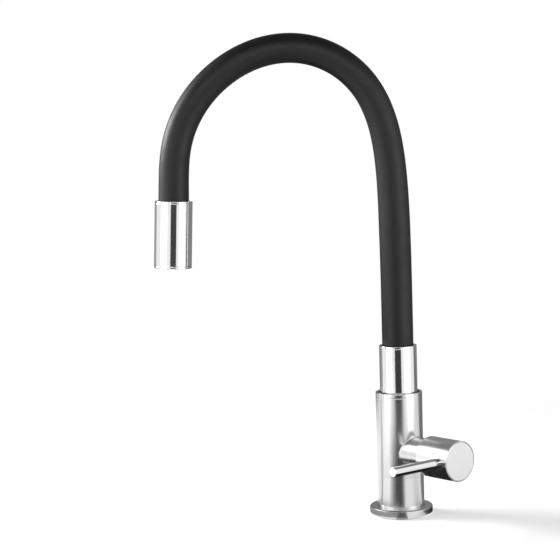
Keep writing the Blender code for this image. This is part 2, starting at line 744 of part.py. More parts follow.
def make_swivel_seat():
    """What the swivel turns in: a bush, a thrust washer on it, and a guide ring in the column's mouth."""
    profile = [
        (INSIDE_COLUMN - EDGE, BUSH_TOP),
        (INSIDE_COLUMN, BUSH_TOP - EDGE),
        (INSIDE_COLUMN, BUSH_BOTTOM + EDGE),
        (INSIDE_COLUMN - EDGE, BUSH_BOTTOM),
        (BUSH_BORE, BUSH_BOTTOM),
        (BUSH_BORE, BUSH_TOP),
    ]
    finish(turned("swivel_bush", profile, INNER_STEPS), "brass")
    top = THRUST_BOTTOM + THRUST_THICKNESS
    finish(tube("thrust_washer", COLLAR_RADIUS, BUSH_BORE, top, THRUST_BOTTOM, INNER_STEPS), "white_plastic")
    top = COLUMN_TOP - GUIDE_DROP
    bore = FERRULE_RADIUS + FIT_GAP
    finish(tube("guide_ring", INSIDE_COLUMN, bore, top, top - GUIDE_HEIGHT, MIDDLE_STEPS), "grey_plastic")


def make_spigot():
    """The brass spigot that carries the hose: seal grooves below, a collar, and a barbed tail above."""
    seal_root = SPIGOT_RADIUS - SWIVEL_SEAL_THICKNESS - FIT_GAP
    half = SWIVEL_SEAL_THICKNESS / 2 + FIT_GAP
    snap_root = SPIGOT_RADIUS - SNAP_DEPTH - FIT_GAP
    snap_top = BUSH_BOTTOM - FIT_GAP
    snap_bottom = snap_top - SNAP_THICKNESS
    head = FERRULE_BORE - FIT_GAP
    profile = [(TAIL_BORE, TAIL_TOP)] + barbed_tail(SPIGOT_HEAD_TOP, TAIL_TOP)
    profile += [
        (head, SPIGOT_HEAD_TOP),
        (head, COLLAR_TOP),
        (COLLAR_RADIUS, COLLAR_TOP),
        (COLLAR_RADIUS, COLLAR_BOTTOM),
        (SPIGOT_RADIUS, COLLAR_BOTTOM),
    ]
    for height in (UPPER_SEAL_HEIGHT, LOWER_SEAL_HEIGHT):
        profile += [
            (SPIGOT_RADIUS, height + half),
            (seal_root, height + half),
            (seal_root, height - half),
            (SPIGOT_RADIUS, height - half),
        ]
    profile += [
        (SPIGOT_RADIUS, snap_top + FIT_GAP),
        (snap_root, snap_top + FIT_GAP),
        (snap_root, snap_bottom - FIT_GAP),
        (SPIGOT_RADIUS, snap_bottom - FIT_GAP),
        (SPIGOT_RADIUS - EDGE, SPIGOT_BOTTOM),
        (SPIGOT_BORE, SPIGOT_BOTTOM),
        (SPIGOT_BORE, SPIGOT_BORE_TOP - SPIGOT_BORE + TAIL_BORE),
        (TAIL_BORE, SPIGOT_BORE_TOP),
    ]
    finish(turned("swivel_spigot", profile, INNER_STEPS, swivel_joint), "brass")
    middle = SPIGOT_RADIUS - SWIVEL_SEAL_THICKNESS / 2
    seal_ring("swivel_o_ring_upper", middle, SWIVEL_SEAL_THICKNESS, UPPER_SEAL_HEIGHT, swivel_joint)
    seal_ring("swivel_o_ring_lower", middle, SWIVEL_SEAL_THICKNESS, LOWER_SEAL_HEIGHT, swivel_joint)
    inner = SPIGOT_RADIUS - SNAP_DEPTH
    outer = SPIGOT_RADIUS + SNAP_REACH
    open_ring("swivel_snap_ring", inner, outer, snap_bottom, SNAP_THICKNESS, swivel_joint)


def make_ferrule():
    """The bright sleeve that grips the hose's lower end and turns in the column's mouth."""
    profile = [
        (FERRULE_RADIUS - EDGE, FERRULE_TOP),
        (FERRULE_RADIUS, FERRULE_TOP - EDGE),
        (FERRULE_RADIUS, COLLAR_TOP + FIT_GAP),
        (FERRULE_BORE, COLLAR_TOP + FIT_GAP),
        (FERRULE_BORE, TAIL_TOP - EDGE),
        (MOUTH_RADIUS, TAIL_TOP),
        (MOUTH_RADIUS, FERRULE_TOP),
    ]
    finish(turned("lower_ferrule", profile, FINE_STEPS, swivel_joint), "polished_steel")


# Hose


def running_sum(values, places):
    """The area under a line of values up to each place."""
    strips = (values[1:] + values[:-1]) / 2 * np.diff(places)
    return np.concatenate([[0.0], np.cumsum(strips)])


def make_route():
    """The hose's centre line. Its rate of lean is straight between the bend places. Summing the rate gives
    the lean, and summing the lean's sine and cosine gives the line."""
    shares = np.linspace(0.0, 1.0, ROUTE_SAMPLES + 1)
    lean = running_sum(np.interp(shares, BEND_PLACE_SHARES, np.radians(BEND_RATE_DEGREES)), shares)
    across = -HOSE_LENGTH * running_sum(np.sin(lean), shares)
    up = HOSE_LENGTH * running_sum(np.cos(lean), shares)
    return {"place": shares * HOSE_LENGTH, "lean": lean, "x": across, "z": up + FERRULE_TOP}


def route_point(place_along):
    """A point of the centre line, by its distance from the ferrule's mouth. Before the mouth and past the
    sleeve's rim the hose runs straight on."""
    inside = min(max(place_along, 0.0), HOSE_LENGTH)
    rest = place_along - inside
    lean = np.interp(inside, route["place"], route["lean"])
    x = np.interp(inside, route["place"], route["x"]) - rest * math.sin(lean)
    z = np.interp(inside, route["place"], route["z"]) + rest * math.cos(lean)
    return Vector((x, 0.0, z))


def bar_along(name, places, widths, radius, sides, frame):
    """A round bar along the route, through the given places, each with its share of the radius. A bevelled
    curve has four sides, and two more for each step of its resolution."""
    curve = bpy.data.curves.new(name, "CURVE")
    curve.dimensions = "3D"
    curve.bevel_depth = radius
    curve.bevel_resolution = (sides - 4) // 2
    curve.use_fill_caps = True
    spline = curve.splines.new("POLY")
    spline.points.add(len(places) - 1)
    origin = frame.matrix_world.translation
    for point, place_along, width in zip(spline.points, places, widths):
        point.co = (*(route_point(place_along) - origin), 1.0)
        point.radius = width
    return as_mesh(place(bpy.data.objects.new(name, curve), frame))


def even_places(start, end, spacing):
    """Places for rings, with a short step at each end that squares the end's face to the route."""
    count = round((end - start) / spacing) + 1
    return [start, *np.linspace(start + END_STEP, end - END_STEP, count), end]


def cut_bore(hose, start, end, radius, sides, frame):
    """Bores a stretch of hose right through."""
    spans = round((end - start) / INNER_RING_SPACING)
    places = np.linspace(start, end, spans + 1)
    places[0] -= OVERRUN
    places[-1] += OVERRUN
    cut(hose, bar_along("bore", places, [1.0] * len(places), radius, sides, frame))


def make_skin(name, start, end, frame):
    """A stretch of the silicone skin."""
    places = even_places(start, end, SKIN_RING_SPACING)
    widths = np.interp(np.array(places) / HOSE_LENGTH, BEND_PLACE_SHARES, SKIN_WIDTH_SHARES)
    skin = bar_along(name, places, widths, SKIN_RADIUS, SKIN_SIDES, frame)
    cut_bore(skin, start, end, SKIN_BORE, CORE_SIDES, frame)
    finish(skin, "black_silicone")


def make_liner(name, start, end, frame):
    """A stretch of the water liner."""
    places = even_places(start, end, INNER_RING_SPACING)
    liner = bar_along(name, places, [1.0] * len(places), LINER_RADIUS, LINER_SIDES, frame)
    cut_bore(liner, start, end, LINER_BORE, LINER_SIDES, frame)
    finish(liner, "white_plastic")


def make_core(name, start, end, frame):
    """A stretch of the gooseneck core. Each rib has one ring on its crest and one in the groove."""
    ribs = round((end - start) / CORE_RIB_PITCH)
    groove = CORE_GROOVE / CORE_RADIUS
    places = [start, *np.linspace(start + END_STEP, end - END_STEP, 2 * ribs + 1), end]
    widths = [groove] + [1.0 if i % 2 else groove for i in range(2 * ribs + 1)] + [groove]
    core = bar_along(name, places, widths, CORE_RADIUS, CORE_SIDES, frame)
    cut_bore(core, start, end, CORE_BORE, CORE_SIDES, frame)
    finish(core, "spring_steel")


def make_hose():
    """Skin, core and liner, each divided at the places where the hose is taken to bend."""
    divides = [(i + 0.5) * HOSE_PITCH for i in range(HOSE_JOINTS)]
    starts = [HOSE_START] + [divide + FIT_GAP / 2 for divide in divides]
    ends = [divide - FIT_GAP / 2 for divide in divides] + [HOSE_END]
    for number, (start, end) in enumerate(zip(starts, ends), 1):
        frame = hose_joints[number - 1]
        make_skin(f"hose_skin_{number}", start, end, frame)
        make_core(f"hose_core_{number}", start, end, frame)
        make_liner(f"hose_liner_{number}", start, end, frame)


# Outlet, in its own tilted frame: heights are counted down from the sleeve's upper rim


def make_sleeve():
    """The bright sleeve, bored to grip the hose above and threaded wider for the aerator below."""
    profile = [
        (SLEEVE_RADIUS - EDGE, 0.0),
        (SLEEVE_RADIUS, -EDGE),
        (SLEEVE_RADIUS, EDGE - SLEEVE_LENGTH),
        (SLEEVE_RADIUS - EDGE, -SLEEVE_LENGTH),
        (SLEEVE_THREAD_BORE, -SLEEVE_LENGTH),
        (SLEEVE_THREAD_BORE, -SLEEVE_THREAD_TOP),
        (SLEEVE_BORE, EDGE - SLEEVE_THREAD_TOP),
        (SLEEVE_BORE, -MOUTH_DEPTH - EDGE),
        (MOUTH_RADIUS, -MOUTH_DEPTH),
        (MOUTH_RADIUS, 0.0),
    ]
    finish(turned("outlet_sleeve", profile, FINE_STEPS, outlet_axis), "polished_steel")


def make_outlet_tail():
    """The fitting inside the sleeve: a barbed tail up into the liner, and a funnel down to the aerator."""
    profile = [(TAIL_BORE, -OUTLET_TAIL_TOP)] + barbed_tail(-OUTLET_BODY_TOP, -OUTLET_TAIL_TOP)
    profile += [
        (OUTLET_BODY_RADIUS, -OUTLET_BODY_TOP),
        (OUTLET_BODY_RADIUS, -OUTLET_BODY_BOTTOM),
        (OUTLET_FUNNEL, -OUTLET_BODY_BOTTOM),
        (TAIL_BORE, OUTLET_FUNNEL - TAIL_BORE - OUTLET_BODY_BOTTOM),
    ]
    finish(turned("outlet_tail", profile, INNER_STEPS, outlet_axis), "brass")


def make_aerator_housing():
    """The rubber seal and the threaded housing under it, with a ledge that parts screen and insert."""
    seal_top = -OUTLET_BODY_BOTTOM - FIT_GAP
    seal_bottom = seal_top - AERATOR_SEAL_THICKNESS
    seal = tube(
        "aerator_seal", OUTLET_BODY_RADIUS, OUTLET_FUNNEL, seal_top, seal_bottom, INNER_STEPS, outlet_axis
    )
    finish(seal, "black_rubber")
    top = seal_bottom - FIT_GAP
    bottom = AERATOR_RECESS - SLEEVE_LENGTH
    ledge = AERATOR_BORE - AERATOR_LEDGE
    profile = [
        (AERATOR_RADIUS, top),
        (AERATOR_RADIUS, bottom + EDGE),
        (AERATOR_RADIUS - EDGE, bottom),
        (AERATOR_BORE + EDGE, bottom),
        (AERATOR_BORE, bottom + EDGE),
        (AERATOR_BORE, -AERATOR_LEDGE_BOTTOM),
        (ledge, -AERATOR_LEDGE_BOTTOM),
        (ledge, AERATOR_LEDGE - AERATOR_LEDGE_BOTTOM),
        (AERATOR_BORE, AERATOR_LEDGE - AERATOR_LEDGE_BOTTOM),
        (AERATOR_BORE, top),
    ]
    finish(turned("aerator_housing", profile, MIDDLE_STEPS, outlet_axis), "polished_steel")


def make_screen():
    """The flow plate on the ledge, with a hole in the middle and a ring of holes round it."""
    bottom = AERATOR_LEDGE - AERATOR_LEDGE_BOTTOM + FIT_GAP
    top = bottom + SCREEN_THICKNESS
    screen = rod("aerator_screen", INSERT_RADIUS, top, bottom, INNER_STEPS, outlet_axis)
    for x, y in [(0.0, 0.0)] + ring_of_points(SCREEN_HOLE_RING, SCREEN_HOLES):
        hole = rod("screen_hole", SCREEN_HOLE, top + OVERRUN, bottom - OVERRUN, HOLE_STEPS, outlet_axis)
        hole.location = (x, y, 0.0)
        cut(screen, hole)
    finish(screen, "spring_steel")


def make_insert():
    """The plastic spray insert, with radial slots right through it."""
    top = -AERATOR_LEDGE_BOTTOM - FIT_GAP
    insert = rod("aerator_insert", INSERT_RADIUS, top, -INSERT_BOTTOM, MIDDLE_STEPS, outlet_axis)
    mesh = bpy.data.meshes.new("insert_slots")
    shape = bmesh.new()
    size = (INSERT_SLOT_OUTER - INSERT_SLOT_INNER, INSERT_SLOT_WIDTH, top + INSERT_BOTTOM + 2 * OVERRUN)
    middle = ((INSERT_SLOT_INNER + INSERT_SLOT_OUTER) / 2, 0.0, (top - INSERT_BOTTOM) / 2)
    for slot in range(INSERT_SLOTS):
        corners = bmesh.ops.create_cube(shape, size=1.0)["verts"]
        bmesh.ops.scale(shape, verts=corners, vec=size)
        bmesh.ops.translate(shape, verts=corners, vec=middle)
        turn = Matrix.Rotation(math.tau * slot / INSERT_SLOTS, 3, "Z")
        bmesh.ops.rotate(shape, verts=corners, cent=(0.0, 0.0, 0.0), matrix=turn)
    shape.to_mesh(mesh)
    shape.free()
    cut(insert, place(bpy.data.objects.new("insert_slots", mesh), outlet_axis))
    finish(insert, "grey_plastic")


def make_hose_joints():
    """One empty on each bend of the hose, each hanging on the one below it."""
    joints = [swivel_joint]
    for number in range(HOSE_JOINTS):
        spot = route_point((number + 0.5) * HOSE_PITCH)
        below = route_point((number - 0.5) * HOSE_PITCH) if number else Vector((0.0, 0.0, 0.0))
        joints.append(add_frame(f"hose_joint_{number + 1}", spot - below, (0.0, 0.0, 0.0), joints[-1]))
    return joints


for startup_object in list(bpy.data.objects):
    bpy.data.objects.remove(startup_object)
faucet = new_collection("flexible_kitchen_faucet")
cutters = new_collection("cutters")
materials = make_materials()
route = make_route()

axis_turn = (math.radians(90.0), 0.0, math.radians(HANDLE_AZIMUTH_DEGREES + 90.0))
valve_axis = add_frame("valve_axis", (0.0, 0.0, VALVE_HEIGHT), axis_turn, None)
handle_joint = add_frame("handle_joint", (0.0, 0.0, 0.0), (0.0, 0.0, 0.0), valve_axis)
lever_axis = add_frame("lever_axis", (0.0, 0.0, LEVER_PLACE), (0.0, math.radians(-90.0), 0.0), handle_joint)
swivel_joint = add_frame("swivel_joint", (0.0, 0.0, 0.0), (0.0, 0.0, 0.0), None)
hose_joints = make_hose_joints()
last_joint_place = (HOSE_JOINTS - 0.5) * HOSE_PITCH
outlet_axis = add_frame(
    "outlet_axis",
    route_point(HOSE_LENGTH) - route_point(last_joint_place),
    (0.0, math.pi - route["lean"][-1], 0.0),
    hose_joints[-1],
)
bpy.context.view_layer.update()

make_column()
make_base()
make_waterway()
make_headwork()
make_valve_washers()
make_discs()
make_spindle()
make_hub()
make_hub_fittings()
make_swivel_seat()
make_spigot()
make_ferrule()
make_hose()
make_sleeve()
make_outlet_tail()
make_aerator_housing()
make_screen()
make_insert()
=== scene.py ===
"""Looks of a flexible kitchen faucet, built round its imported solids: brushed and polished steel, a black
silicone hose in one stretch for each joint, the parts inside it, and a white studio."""

import json
import math

import bpy
import numpy as np
from bpy.props import FloatProperty, FloatVectorProperty, PointerProperty
from bpy.types import Operator, Panel, PropertyGroup
from mathutils import Matrix, Vector


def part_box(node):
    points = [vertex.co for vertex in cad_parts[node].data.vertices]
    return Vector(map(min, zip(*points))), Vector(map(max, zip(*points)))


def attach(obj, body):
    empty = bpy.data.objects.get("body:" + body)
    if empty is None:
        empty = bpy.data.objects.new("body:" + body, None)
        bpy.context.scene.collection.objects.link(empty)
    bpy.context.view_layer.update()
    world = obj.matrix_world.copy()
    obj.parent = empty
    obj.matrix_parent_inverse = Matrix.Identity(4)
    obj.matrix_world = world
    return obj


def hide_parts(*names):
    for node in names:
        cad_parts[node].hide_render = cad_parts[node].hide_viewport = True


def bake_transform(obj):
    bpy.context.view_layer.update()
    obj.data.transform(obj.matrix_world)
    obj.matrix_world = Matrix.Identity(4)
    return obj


bl_info = {
    "name": "Flexible Kitchen Faucet",
    "version": (1, 0, 0),
    "blender": (4, 5, 0),
    "location": "3D View > Sidebar > Faucet",
    "description": "Finished surfaces, materials and studio for a faucet with a bending hose spout",
    "category": "Object",
}

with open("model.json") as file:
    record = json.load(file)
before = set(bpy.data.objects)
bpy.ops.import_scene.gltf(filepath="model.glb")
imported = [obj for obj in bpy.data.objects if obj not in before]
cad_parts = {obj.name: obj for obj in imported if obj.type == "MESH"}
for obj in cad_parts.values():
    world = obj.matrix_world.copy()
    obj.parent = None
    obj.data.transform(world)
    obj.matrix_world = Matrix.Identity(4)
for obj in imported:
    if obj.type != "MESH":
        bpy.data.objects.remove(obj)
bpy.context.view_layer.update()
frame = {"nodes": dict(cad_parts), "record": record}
column_low, column_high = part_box("column_body")
flange_low, flange_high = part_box("base_flange")
gasket_low, gasket_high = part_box("base_gasket")
ferrule_low, ferrule_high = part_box("lower_ferrule")
guide_low, guide_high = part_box("guide_ring")

# Surfaces
ROUND_COLUMNS = 128
SMALL_COLUMNS = 48
HIDDEN_COLUMNS = 24
ROUNDING_STEPS = 5
HOLDING_EDGE = 0.0003
SHORT_STRETCH = 4 * HOLDING_EDGE
HARD_EDGE_DEGREES = 40.0
FINE_EDGE = 0.00015
SOFT_EDGE = 2 * FINE_EDGE
LIP_EDGE = 3 * FINE_EDGE

# Column and base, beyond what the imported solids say
COLUMN_WALL = 0.0020
COLUMN_EDGE = 0.0007
MOUTH_LINE = 0.0032
GUIDE_GAP = 0.0003
FLANGE_TOP_CHAMFER = 0.0008
FLANGE_FOOT_CHAMFER = 0.0015
FLANGE_GAP = 0.0003
FLANGE_RECESS = 0.0213
GASKET_BORE = 0.0120

# Stub, valve axis and handle
VALVE_HEIGHT = 0.0480
HANDLE_AZIMUTH_DEGREES = -50.0
STUB_RADIUS = 0.0125
STUB_BORE = 0.0106
STUB_END = 0.0345
WELD_SIZE = 0.0005
WELD_STEPS = 6
WALL_STEPS = 6
HUB_RADIUS = 0.0150
HUB_BACK = 0.0317
HUB_FACE = 0.0626
HUB_CAVITY = 0.0131
HUB_CAVITY_END = 0.0465
HUB_EDGE = 0.0003
CAP_RADIUS = 0.0142
CAP_THICKNESS = 0.0012
CAP_GAP = 0.0003
LEVER_RADIUS = 0.0037
LEVER_PLACE = 0.0543
LEVER_ROOT = 0.0088
LEVER_TIP = 0.0602
LEVER_EDGE = 0.0005

# Sleeves
SLEEVE_BORE = 0.0121
MOUTH_RADIUS = 0.0133
MOUTH_DEPTH = 0.0030
LIP_WIDTH = 0.0016
LIP_GROOVE = 0.00012
SLEEVE_LENGTH = 0.0500
SLEEVE_THREAD_BORE = 0.0126
SLEEVE_THREAD_TOP = 0.0240

# Hose
HOSE_LENGTH = 0.4220
HOSE_JOINTS = 7
HOSE_PITCH = HOSE_LENGTH / HOSE_JOINTS
HOSE_RADIUS = 0.01175
BEND_PLACE_SHARES = (0.0, 0.22, 0.32, 0.40, 0.46, 0.60, 0.75, 0.90, 1.0)
BEND_RATE_DEGREES = (0.0, 10.0, 72.0, 209.0, 340.0, 354.0, 248.0, 284.0, -66.0)
SKIN_WIDTH_SHARES = (1.0, 1.0, 0.97, 0.95, 0.94, 0.94, 0.94, 0.95, 0.97)
ROUTE_SAMPLES = 1400
HOSE_START = -0.0322
HOSE_END = 0.4423
SKIN_BORE = 0.0099
CORE_RADIUS = 0.0090
CORE_BORE = 0.0066
CORE_BORE_RINGS = 24
CORE_RIB_PITCH = 0.0028
CORE_RIB_DEPTH = 0.0006
RINGS_PER_RIB = 4
LINER_RADIUS = 0.0057
LINER_BORE = 0.0043
SKIN_RING_SPACING = 0.0012
SKIN_COLUMNS = 64
LINER_RING_SPACING = 0.0030
END_RING = 0.0002
BLEND_INSET = 0.0070

# Aerator, measured down from the outlet sleeve's upper rim
AERATOR_RADIUS = 0.0123
AERATOR_BORE = 0.0094
AERATOR_TOP = 0.0363
AERATOR_BOTTOM = 0.0494
AERATOR_LEDGE = 0.0079
AERATOR_LEDGE_TOP = 0.0385
AERATOR_LEDGE_BOTTOM = 0.0400
INSERT_RADIUS = 0.0091
INSERT_TOP = 0.0403
INSERT_BOTTOM = 0.0460
INSERT_RIM = 0.0080
INSERT_HUB = 0.0030
INSERT_SLOT_WIDTH = 0.0010
INSERT_RIBS = 12
RIB_SINK = 0.0003
RIB_PLACES = 8

# Finishes. A pitch and a depth are in metres, and a scale is in waves for each metre.
LINE_DRIFT = 60.0
LINE_INWARD_SHARE = 0.7
LINE_RANGE = (0.3, 0.7)
SMUDGE_RANGE = (0.35, 0.70)
SPECK_RANGE = (0.72, 0.80)
SPECK_SCALE_SHARE = 0.6
METAL_SMUDGE_SCALE = 45.0
METAL_SMUDGE_SHADE = 0.97
MOULDED_SMUDGE_SCALE = 80.0
MOULDED_SMUDGE_SHADE = 0.88
MOULDED_SMUDGE_ROUGHNESS = 0.06
# Metals: roughness, its spread, the lines' pitch and depth, and whether they follow the piece's own axis
METALS = {
    "brushed_steel": (0.22, 0.03, 0.00016, 0.000003, True),
    "satin_steel": (0.22, 0.03, 0.00012, 0.000002, True),
    "polished_steel": (0.08, 0.02, 0.0009, 0.0000004, True),
    "winding_steel": (0.38, 0.06, 0.0006, 0.00001, True),
    "spring_steel": (0.35, 0.05, 0.0003, 0.000005, False),
    "brass": (0.30, 0.05, 0.0003, 0.000006, False),
}
# Moulded finishes: roughness, the grain's scale and depth, and for the hose its shine, own axis and dust
MOULDED = {
    "black_silicone": (0.46, 3200.0, 0.00002, 0.38, True, (0.05, 0.05, 0.055)),
    "black_rubber": (0.68, 1800.0, 0.00003),
    "white_ceramic": (0.14, 5000.0, 0.000003),
    "white_plastic": (0.42, 2500.0, 0.00001),
    "grey_plastic": (0.45, 2500.0, 0.00001),
}
# Colours that the panel doesn't offer
FIXED_COLOURS = {
    "winding_steel": (0.45, 0.45, 0.46),
    "spring_steel": (0.45, 0.45, 0.46),
    "brass": (0.72, 0.55, 0.27),
    "black_rubber": (0.03, 0.03, 0.03),
    "white_ceramic": (0.86, 0.85, 0.82),
    "white_plastic": (0.78, 0.78, 0.76),
    "grey_plastic": (0.10, 0.10, 0.11),
}

# Camera, floor and world
CAMERA_PLACE = (-0.0870, -1.2806, 0.2970)
CAMERA_PITCH_DEGREES = 5.23
CAMERA_ROLL_DEGREES = 1.60
PICTURE_SIDE = 560
FOCAL_PIXELS = 1720.0
SENSOR_WIDTH = 36.0
FLOOR_SIDE = 6.0
FLOOR_FADE_START = 0.25
FLOOR_FADE_END = 0.70
FLOOR_GLOW = 0.28
FLOOR_ROUGHNESS = 0.9
WORLD_LIGHT = 0.55

# Lamps: place, the point that they face, width, height and brightness
SOFTBOX_TARGET = (-0.06, 0.0, 0.18)
LAMPS = {
    "left_softbox": ((-1.00, -0.55, 0.35), SOFTBOX_TARGET, 0.8, 1.2, 0.98),
    "right_softbox": ((0.85, -0.65, 0.35), SOFTBOX_TARGET, 0.8, 1.2, 1.30),
    "shoulder_lamp": ((-0.95, 0.26, 0.58), (-0.16, 0.0, 0.27), 0.45, 0.30, 25.0),
}

# Cards that only reflections see: the form, its measures and how bright it is. An upright or a level one
# has its centre and two sides. A sector has the (distance, height) of its inner and outer edge, and its
# first and last direction.
SECTOR_STEPS = 12
CARD_LIFT = 0.0004
# Painted reflection: the glow band lies under the flange's foot chamfer
GLOW_BAND = ((0.0212, CARD_LIFT), (0.0244, CARD_LIFT))
# Painted shade: the foot band is the floor right round the flange's foot
FOOT_BAND = ((0.0245, CARD_LIFT), (0.060, CARD_LIFT))
FLOOR_BAND = ((0.060, CARD_LIFT), (0.345, CARD_LIFT))
ONE_SIDED_CARDS = ("handle_painted_shade",)
CARDS = {
    "front_card": ("upright", ((-0.087, -1.10, 0.15), 0.70, 0.30), 0.055),
    "low_card": ("upright", ((-0.034, -0.35, 0.045), 0.243, 0.09), 0.05),
    "back_card": ("upright", ((0.67, 0.50, 0.40), 2.40, 1.60), 0.25),
    "left_back_card": ("upright", ((-0.78, 0.50, 0.40), 0.50, 1.60), 0.40),
    "top_card": ("level", ((0.0, 0.0, 1.20), 2.40, 2.40), 0.11),
    # Painted shade: a dark sheet that slopes from the column to the floor under the handle darkens the
    # undersides of the handle, stub and lever in reflections
    "handle_painted_shade": ("sector", ((0.120, 0.0006), (0.0250, 0.0274), -85.0, 62.0), 0.015),
    "front_floor_card": ("sector", (*FLOOR_BAND, -30.0, 5.0), 0.06),
    "front_fade_left": ("sector", (*FLOOR_BAND, -40.0, -30.0), 0.22),
    "front_fade_far_left": ("sector", (*FLOOR_BAND, -52.0, -40.0), 0.60),
    "front_fade_right": ("sector", (*FLOOR_BAND, 5.0, 13.0), 0.35),
    # Painted shade: these three dark patches round the flange's foot stand for the faucet's contact shadow
    # on the floor, seen in reflections
    "front_foot_painted_shade": ("sector", (*FOOT_BAND, -13.0, 10.0), 0.12),
    "left_foot_painted_shade": ("sector", (*FOOT_BAND, -140.0, -13.0), 0.35),
    "right_foot_painted_shade": ("sector", ((0.0245, CARD_LIFT), (0.050, CARD_LIFT), 60.0, 130.0), 0.03),
    # Painted reflection: a bright ring under the flange's foot chamfer, where the floor lies in shade, makes
    # the chamfer shine
    "left_foot_painted_reflection": ("sector", (*GLOW_BAND, -180.0, -14.0), 1.15),
    "front_foot_painted_reflection": ("sector", (*GLOW_BAND, -14.0, 8.0), 0.40),
    "right_foot_painted_reflection": ("sector", (*GLOW_BAND, 8.0, 180.0), 1.05),
    "left_floor_card": ("sector", ((0.060, CARD_LIFT), (0.600, CARD_LIFT), -108.0, -98.0), 0.32),
    "right_floor_card": ("sector", ((0.050, CARD_LIFT), (1.000, CARD_LIFT), 107.0, 158.0), 0.20),
    "arch_card": ("level", ((-0.19, 0.30, 0.13), 0.34, 0.64), 0.10),
    "crown_glow": ("upright", ((-0.087, -1.25, 0.66), 1.0, 0.4), 2.0),
    "shoulder_card": ("sloped", ((-0.40, 0.39), (-0.18, 0.56), -0.22, 0.16), 0.02),
}

# Filled by make_finishes
groups = {}
finishes = {}


def rounded_outline(corners, closed=True):
    """Points of a turned outline from corners of (radius, height, rounding). Each corner becomes a parabola
    that begins and ends one rounding away from it: the square of what is left of the way times the start,
    twice the product times the corner, and the square of the way times the end. A long straight stretch gets
    a holding point near each end, which keeps its shading flat."""
    way = np.linspace(0.0, 1.0, ROUNDING_STEPS + 1)[:, None]
    places = np.array([corner[:2] for corner in corners])
    bends = []
    for number, (radius, height, rounding) in enumerate(corners):
        corner = np.array((radius, height))
        if not closed and number in (0, len(corners) - 1):
            bends.append(corner[None])
            continue
        back = places[number - 1] - corner
        onward = places[(number + 1) % len(corners)] - corner
        start = corner + back / np.linalg.norm(back) * rounding
        end = corner + onward / np.linalg.norm(onward) * rounding
        bends.append((1 - way) ** 2 * start + 2 * way * (1 - way) * corner + way**2 * end)
    points = []
    for number, bend in enumerate(bends):
        points.append(bend)
        if closed or number + 1 < len(bends):
            start = bend[-1]
            stretch = bends[(number + 1) % len(bends)][0] - start
            length = np.linalg.norm(stretch)
            if length > SHORT_STRETCH:
                share = HOLDING_EDGE / length
                points.append(start + stretch * np.array([[share], [1 - share]]))
    return np.concatenate(points)


def groove(radius, height, depth):
    """Corners of a shallow groove round a wall, which parts a lip from the rest of it."""
    edge = FINE_EDGE / 2
    low, high = height - SOFT_EDGE, height + SOFT_EDGE
    return [(radius, low, edge), (radius - depth, height, edge), (radius, high, edge)]


def fine_corners(*places):
    """Corners with the finest rounding, each from its (radius, height)."""
    return [(*place, FINE_EDGE) for place in places]


def plain_ring(outer, bore, low, high):
    """Corners of a ring with a plain section."""
    return fine_corners((outer, low), (outer, high), (bore, high), (bore, low))


def plain_rod(radius, low, high, low_edge, high_edge):
    """Corners of a plain rod, with the rounding of its two ends."""
    return [(0.0, low, 0.0), (radius, low, low_edge), (radius, high, high_edge), (0.0, high, 0.0)]


def turned_grid(outline, columns):
    """A grid of points round an axis: at each angle, a point (radius, height) of the outline lies at the
    radius times the angle's cosine and sine, at its height."""
    angles = np.linspace(0.0, math.tau, columns, endpoint=False)
    radius = outline[:, :1]
    height = np.repeat(outline[:, 1:], columns, axis=1)
    return np.stack([radius * np.cos(angles), radius * np.sin(angles), height], axis=2)


def grid_faces(rows, columns, closed):
    """Corner numbers of a grid's quads. Columns always wrap round; rows wrap where the grid is closed."""
    index = np.arange(rows * columns).reshape(rows, columns)
    if closed:
        index = np.concatenate([index, index[:1]])
    index = np.concatenate([index, index[:, :1]], axis=1)
    corners = [index[:-1, :-1], index[:-1, 1:], index[1:, 1:], index[1:, :-1]]
    return np.stack(corners, axis=2).reshape(-1, 4)


def new_object(name, data):
    """A new object at the origin, linked to the scene."""
    piece = bpy.data.objects.new(name, data)
    bpy.context.scene.collection.objects.link(piece)
    return piece


def mesh_piece(name, vertices, faces, own_places, finish):
    """Puts vertices and faces into a new object at the origin. The attribute own_place keeps where each
    vertex lies along and round its piece's own axis, for patterns that follow the piece."""
    mesh = bpy.data.meshes.new(name)
    mesh.from_pydata(vertices.tolist(), [], faces)
    attribute = mesh.attributes.new("own_place", "FLOAT_VECTOR", "POINT")
    attribute.data.foreach_set("vector", own_places.astype(np.float32).ravel())
    mesh.shade_smooth()
    mesh.set_sharp_from_angle(angle=math.radians(HARD_EDGE_DEGREES))
    mesh.materials.append(finishes[finish])
    return new_object(name, mesh)


def ring_piece(name, grid, place, finish):
    """A grid whose rows and columns both wrap round, as on a ring, carried to its place."""
    own = grid.reshape(-1, 3)
    faces = grid_faces(*grid.shape[:2], closed=True).tolist()
    return mesh_piece(name, place(own), faces, own, finish)


def capped_piece(name, grid, place, finish):
    """A grid whose first and last rows lie on the axis. Each becomes one pole, joined to its neighbour row
    by triangles."""
    rows, columns = grid.shape[0] - 2, grid.shape[1]
    own = np.concatenate([grid[0, :1], grid[1:-1].reshape(-1, 3), grid[-1, :1]])
    quads = grid_faces(rows, columns, closed=False) + 1
    near = np.arange(columns)
    far = (near + 1) % columns
    last_row = 1 + (rows - 1) * columns
    first_pole = np.stack([np.zeros_like(near), far + 1, near + 1], axis=1)
    last_pole = np.stack([last_row + near, last_row + far, np.full_like(near, len(own) - 1)], axis=1)
    faces = quads.tolist() + first_pole.tolist() + last_pole.tolist()
    return mesh_piece(name, place(own), faces, own, finish)


def settle(piece, body, slot, *nodes):
    """Hangs a piece on its body and hides the solids that it stands for. The slot, which names its finish,
    is not used.
    """
    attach(piece, body)
    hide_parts(*nodes)


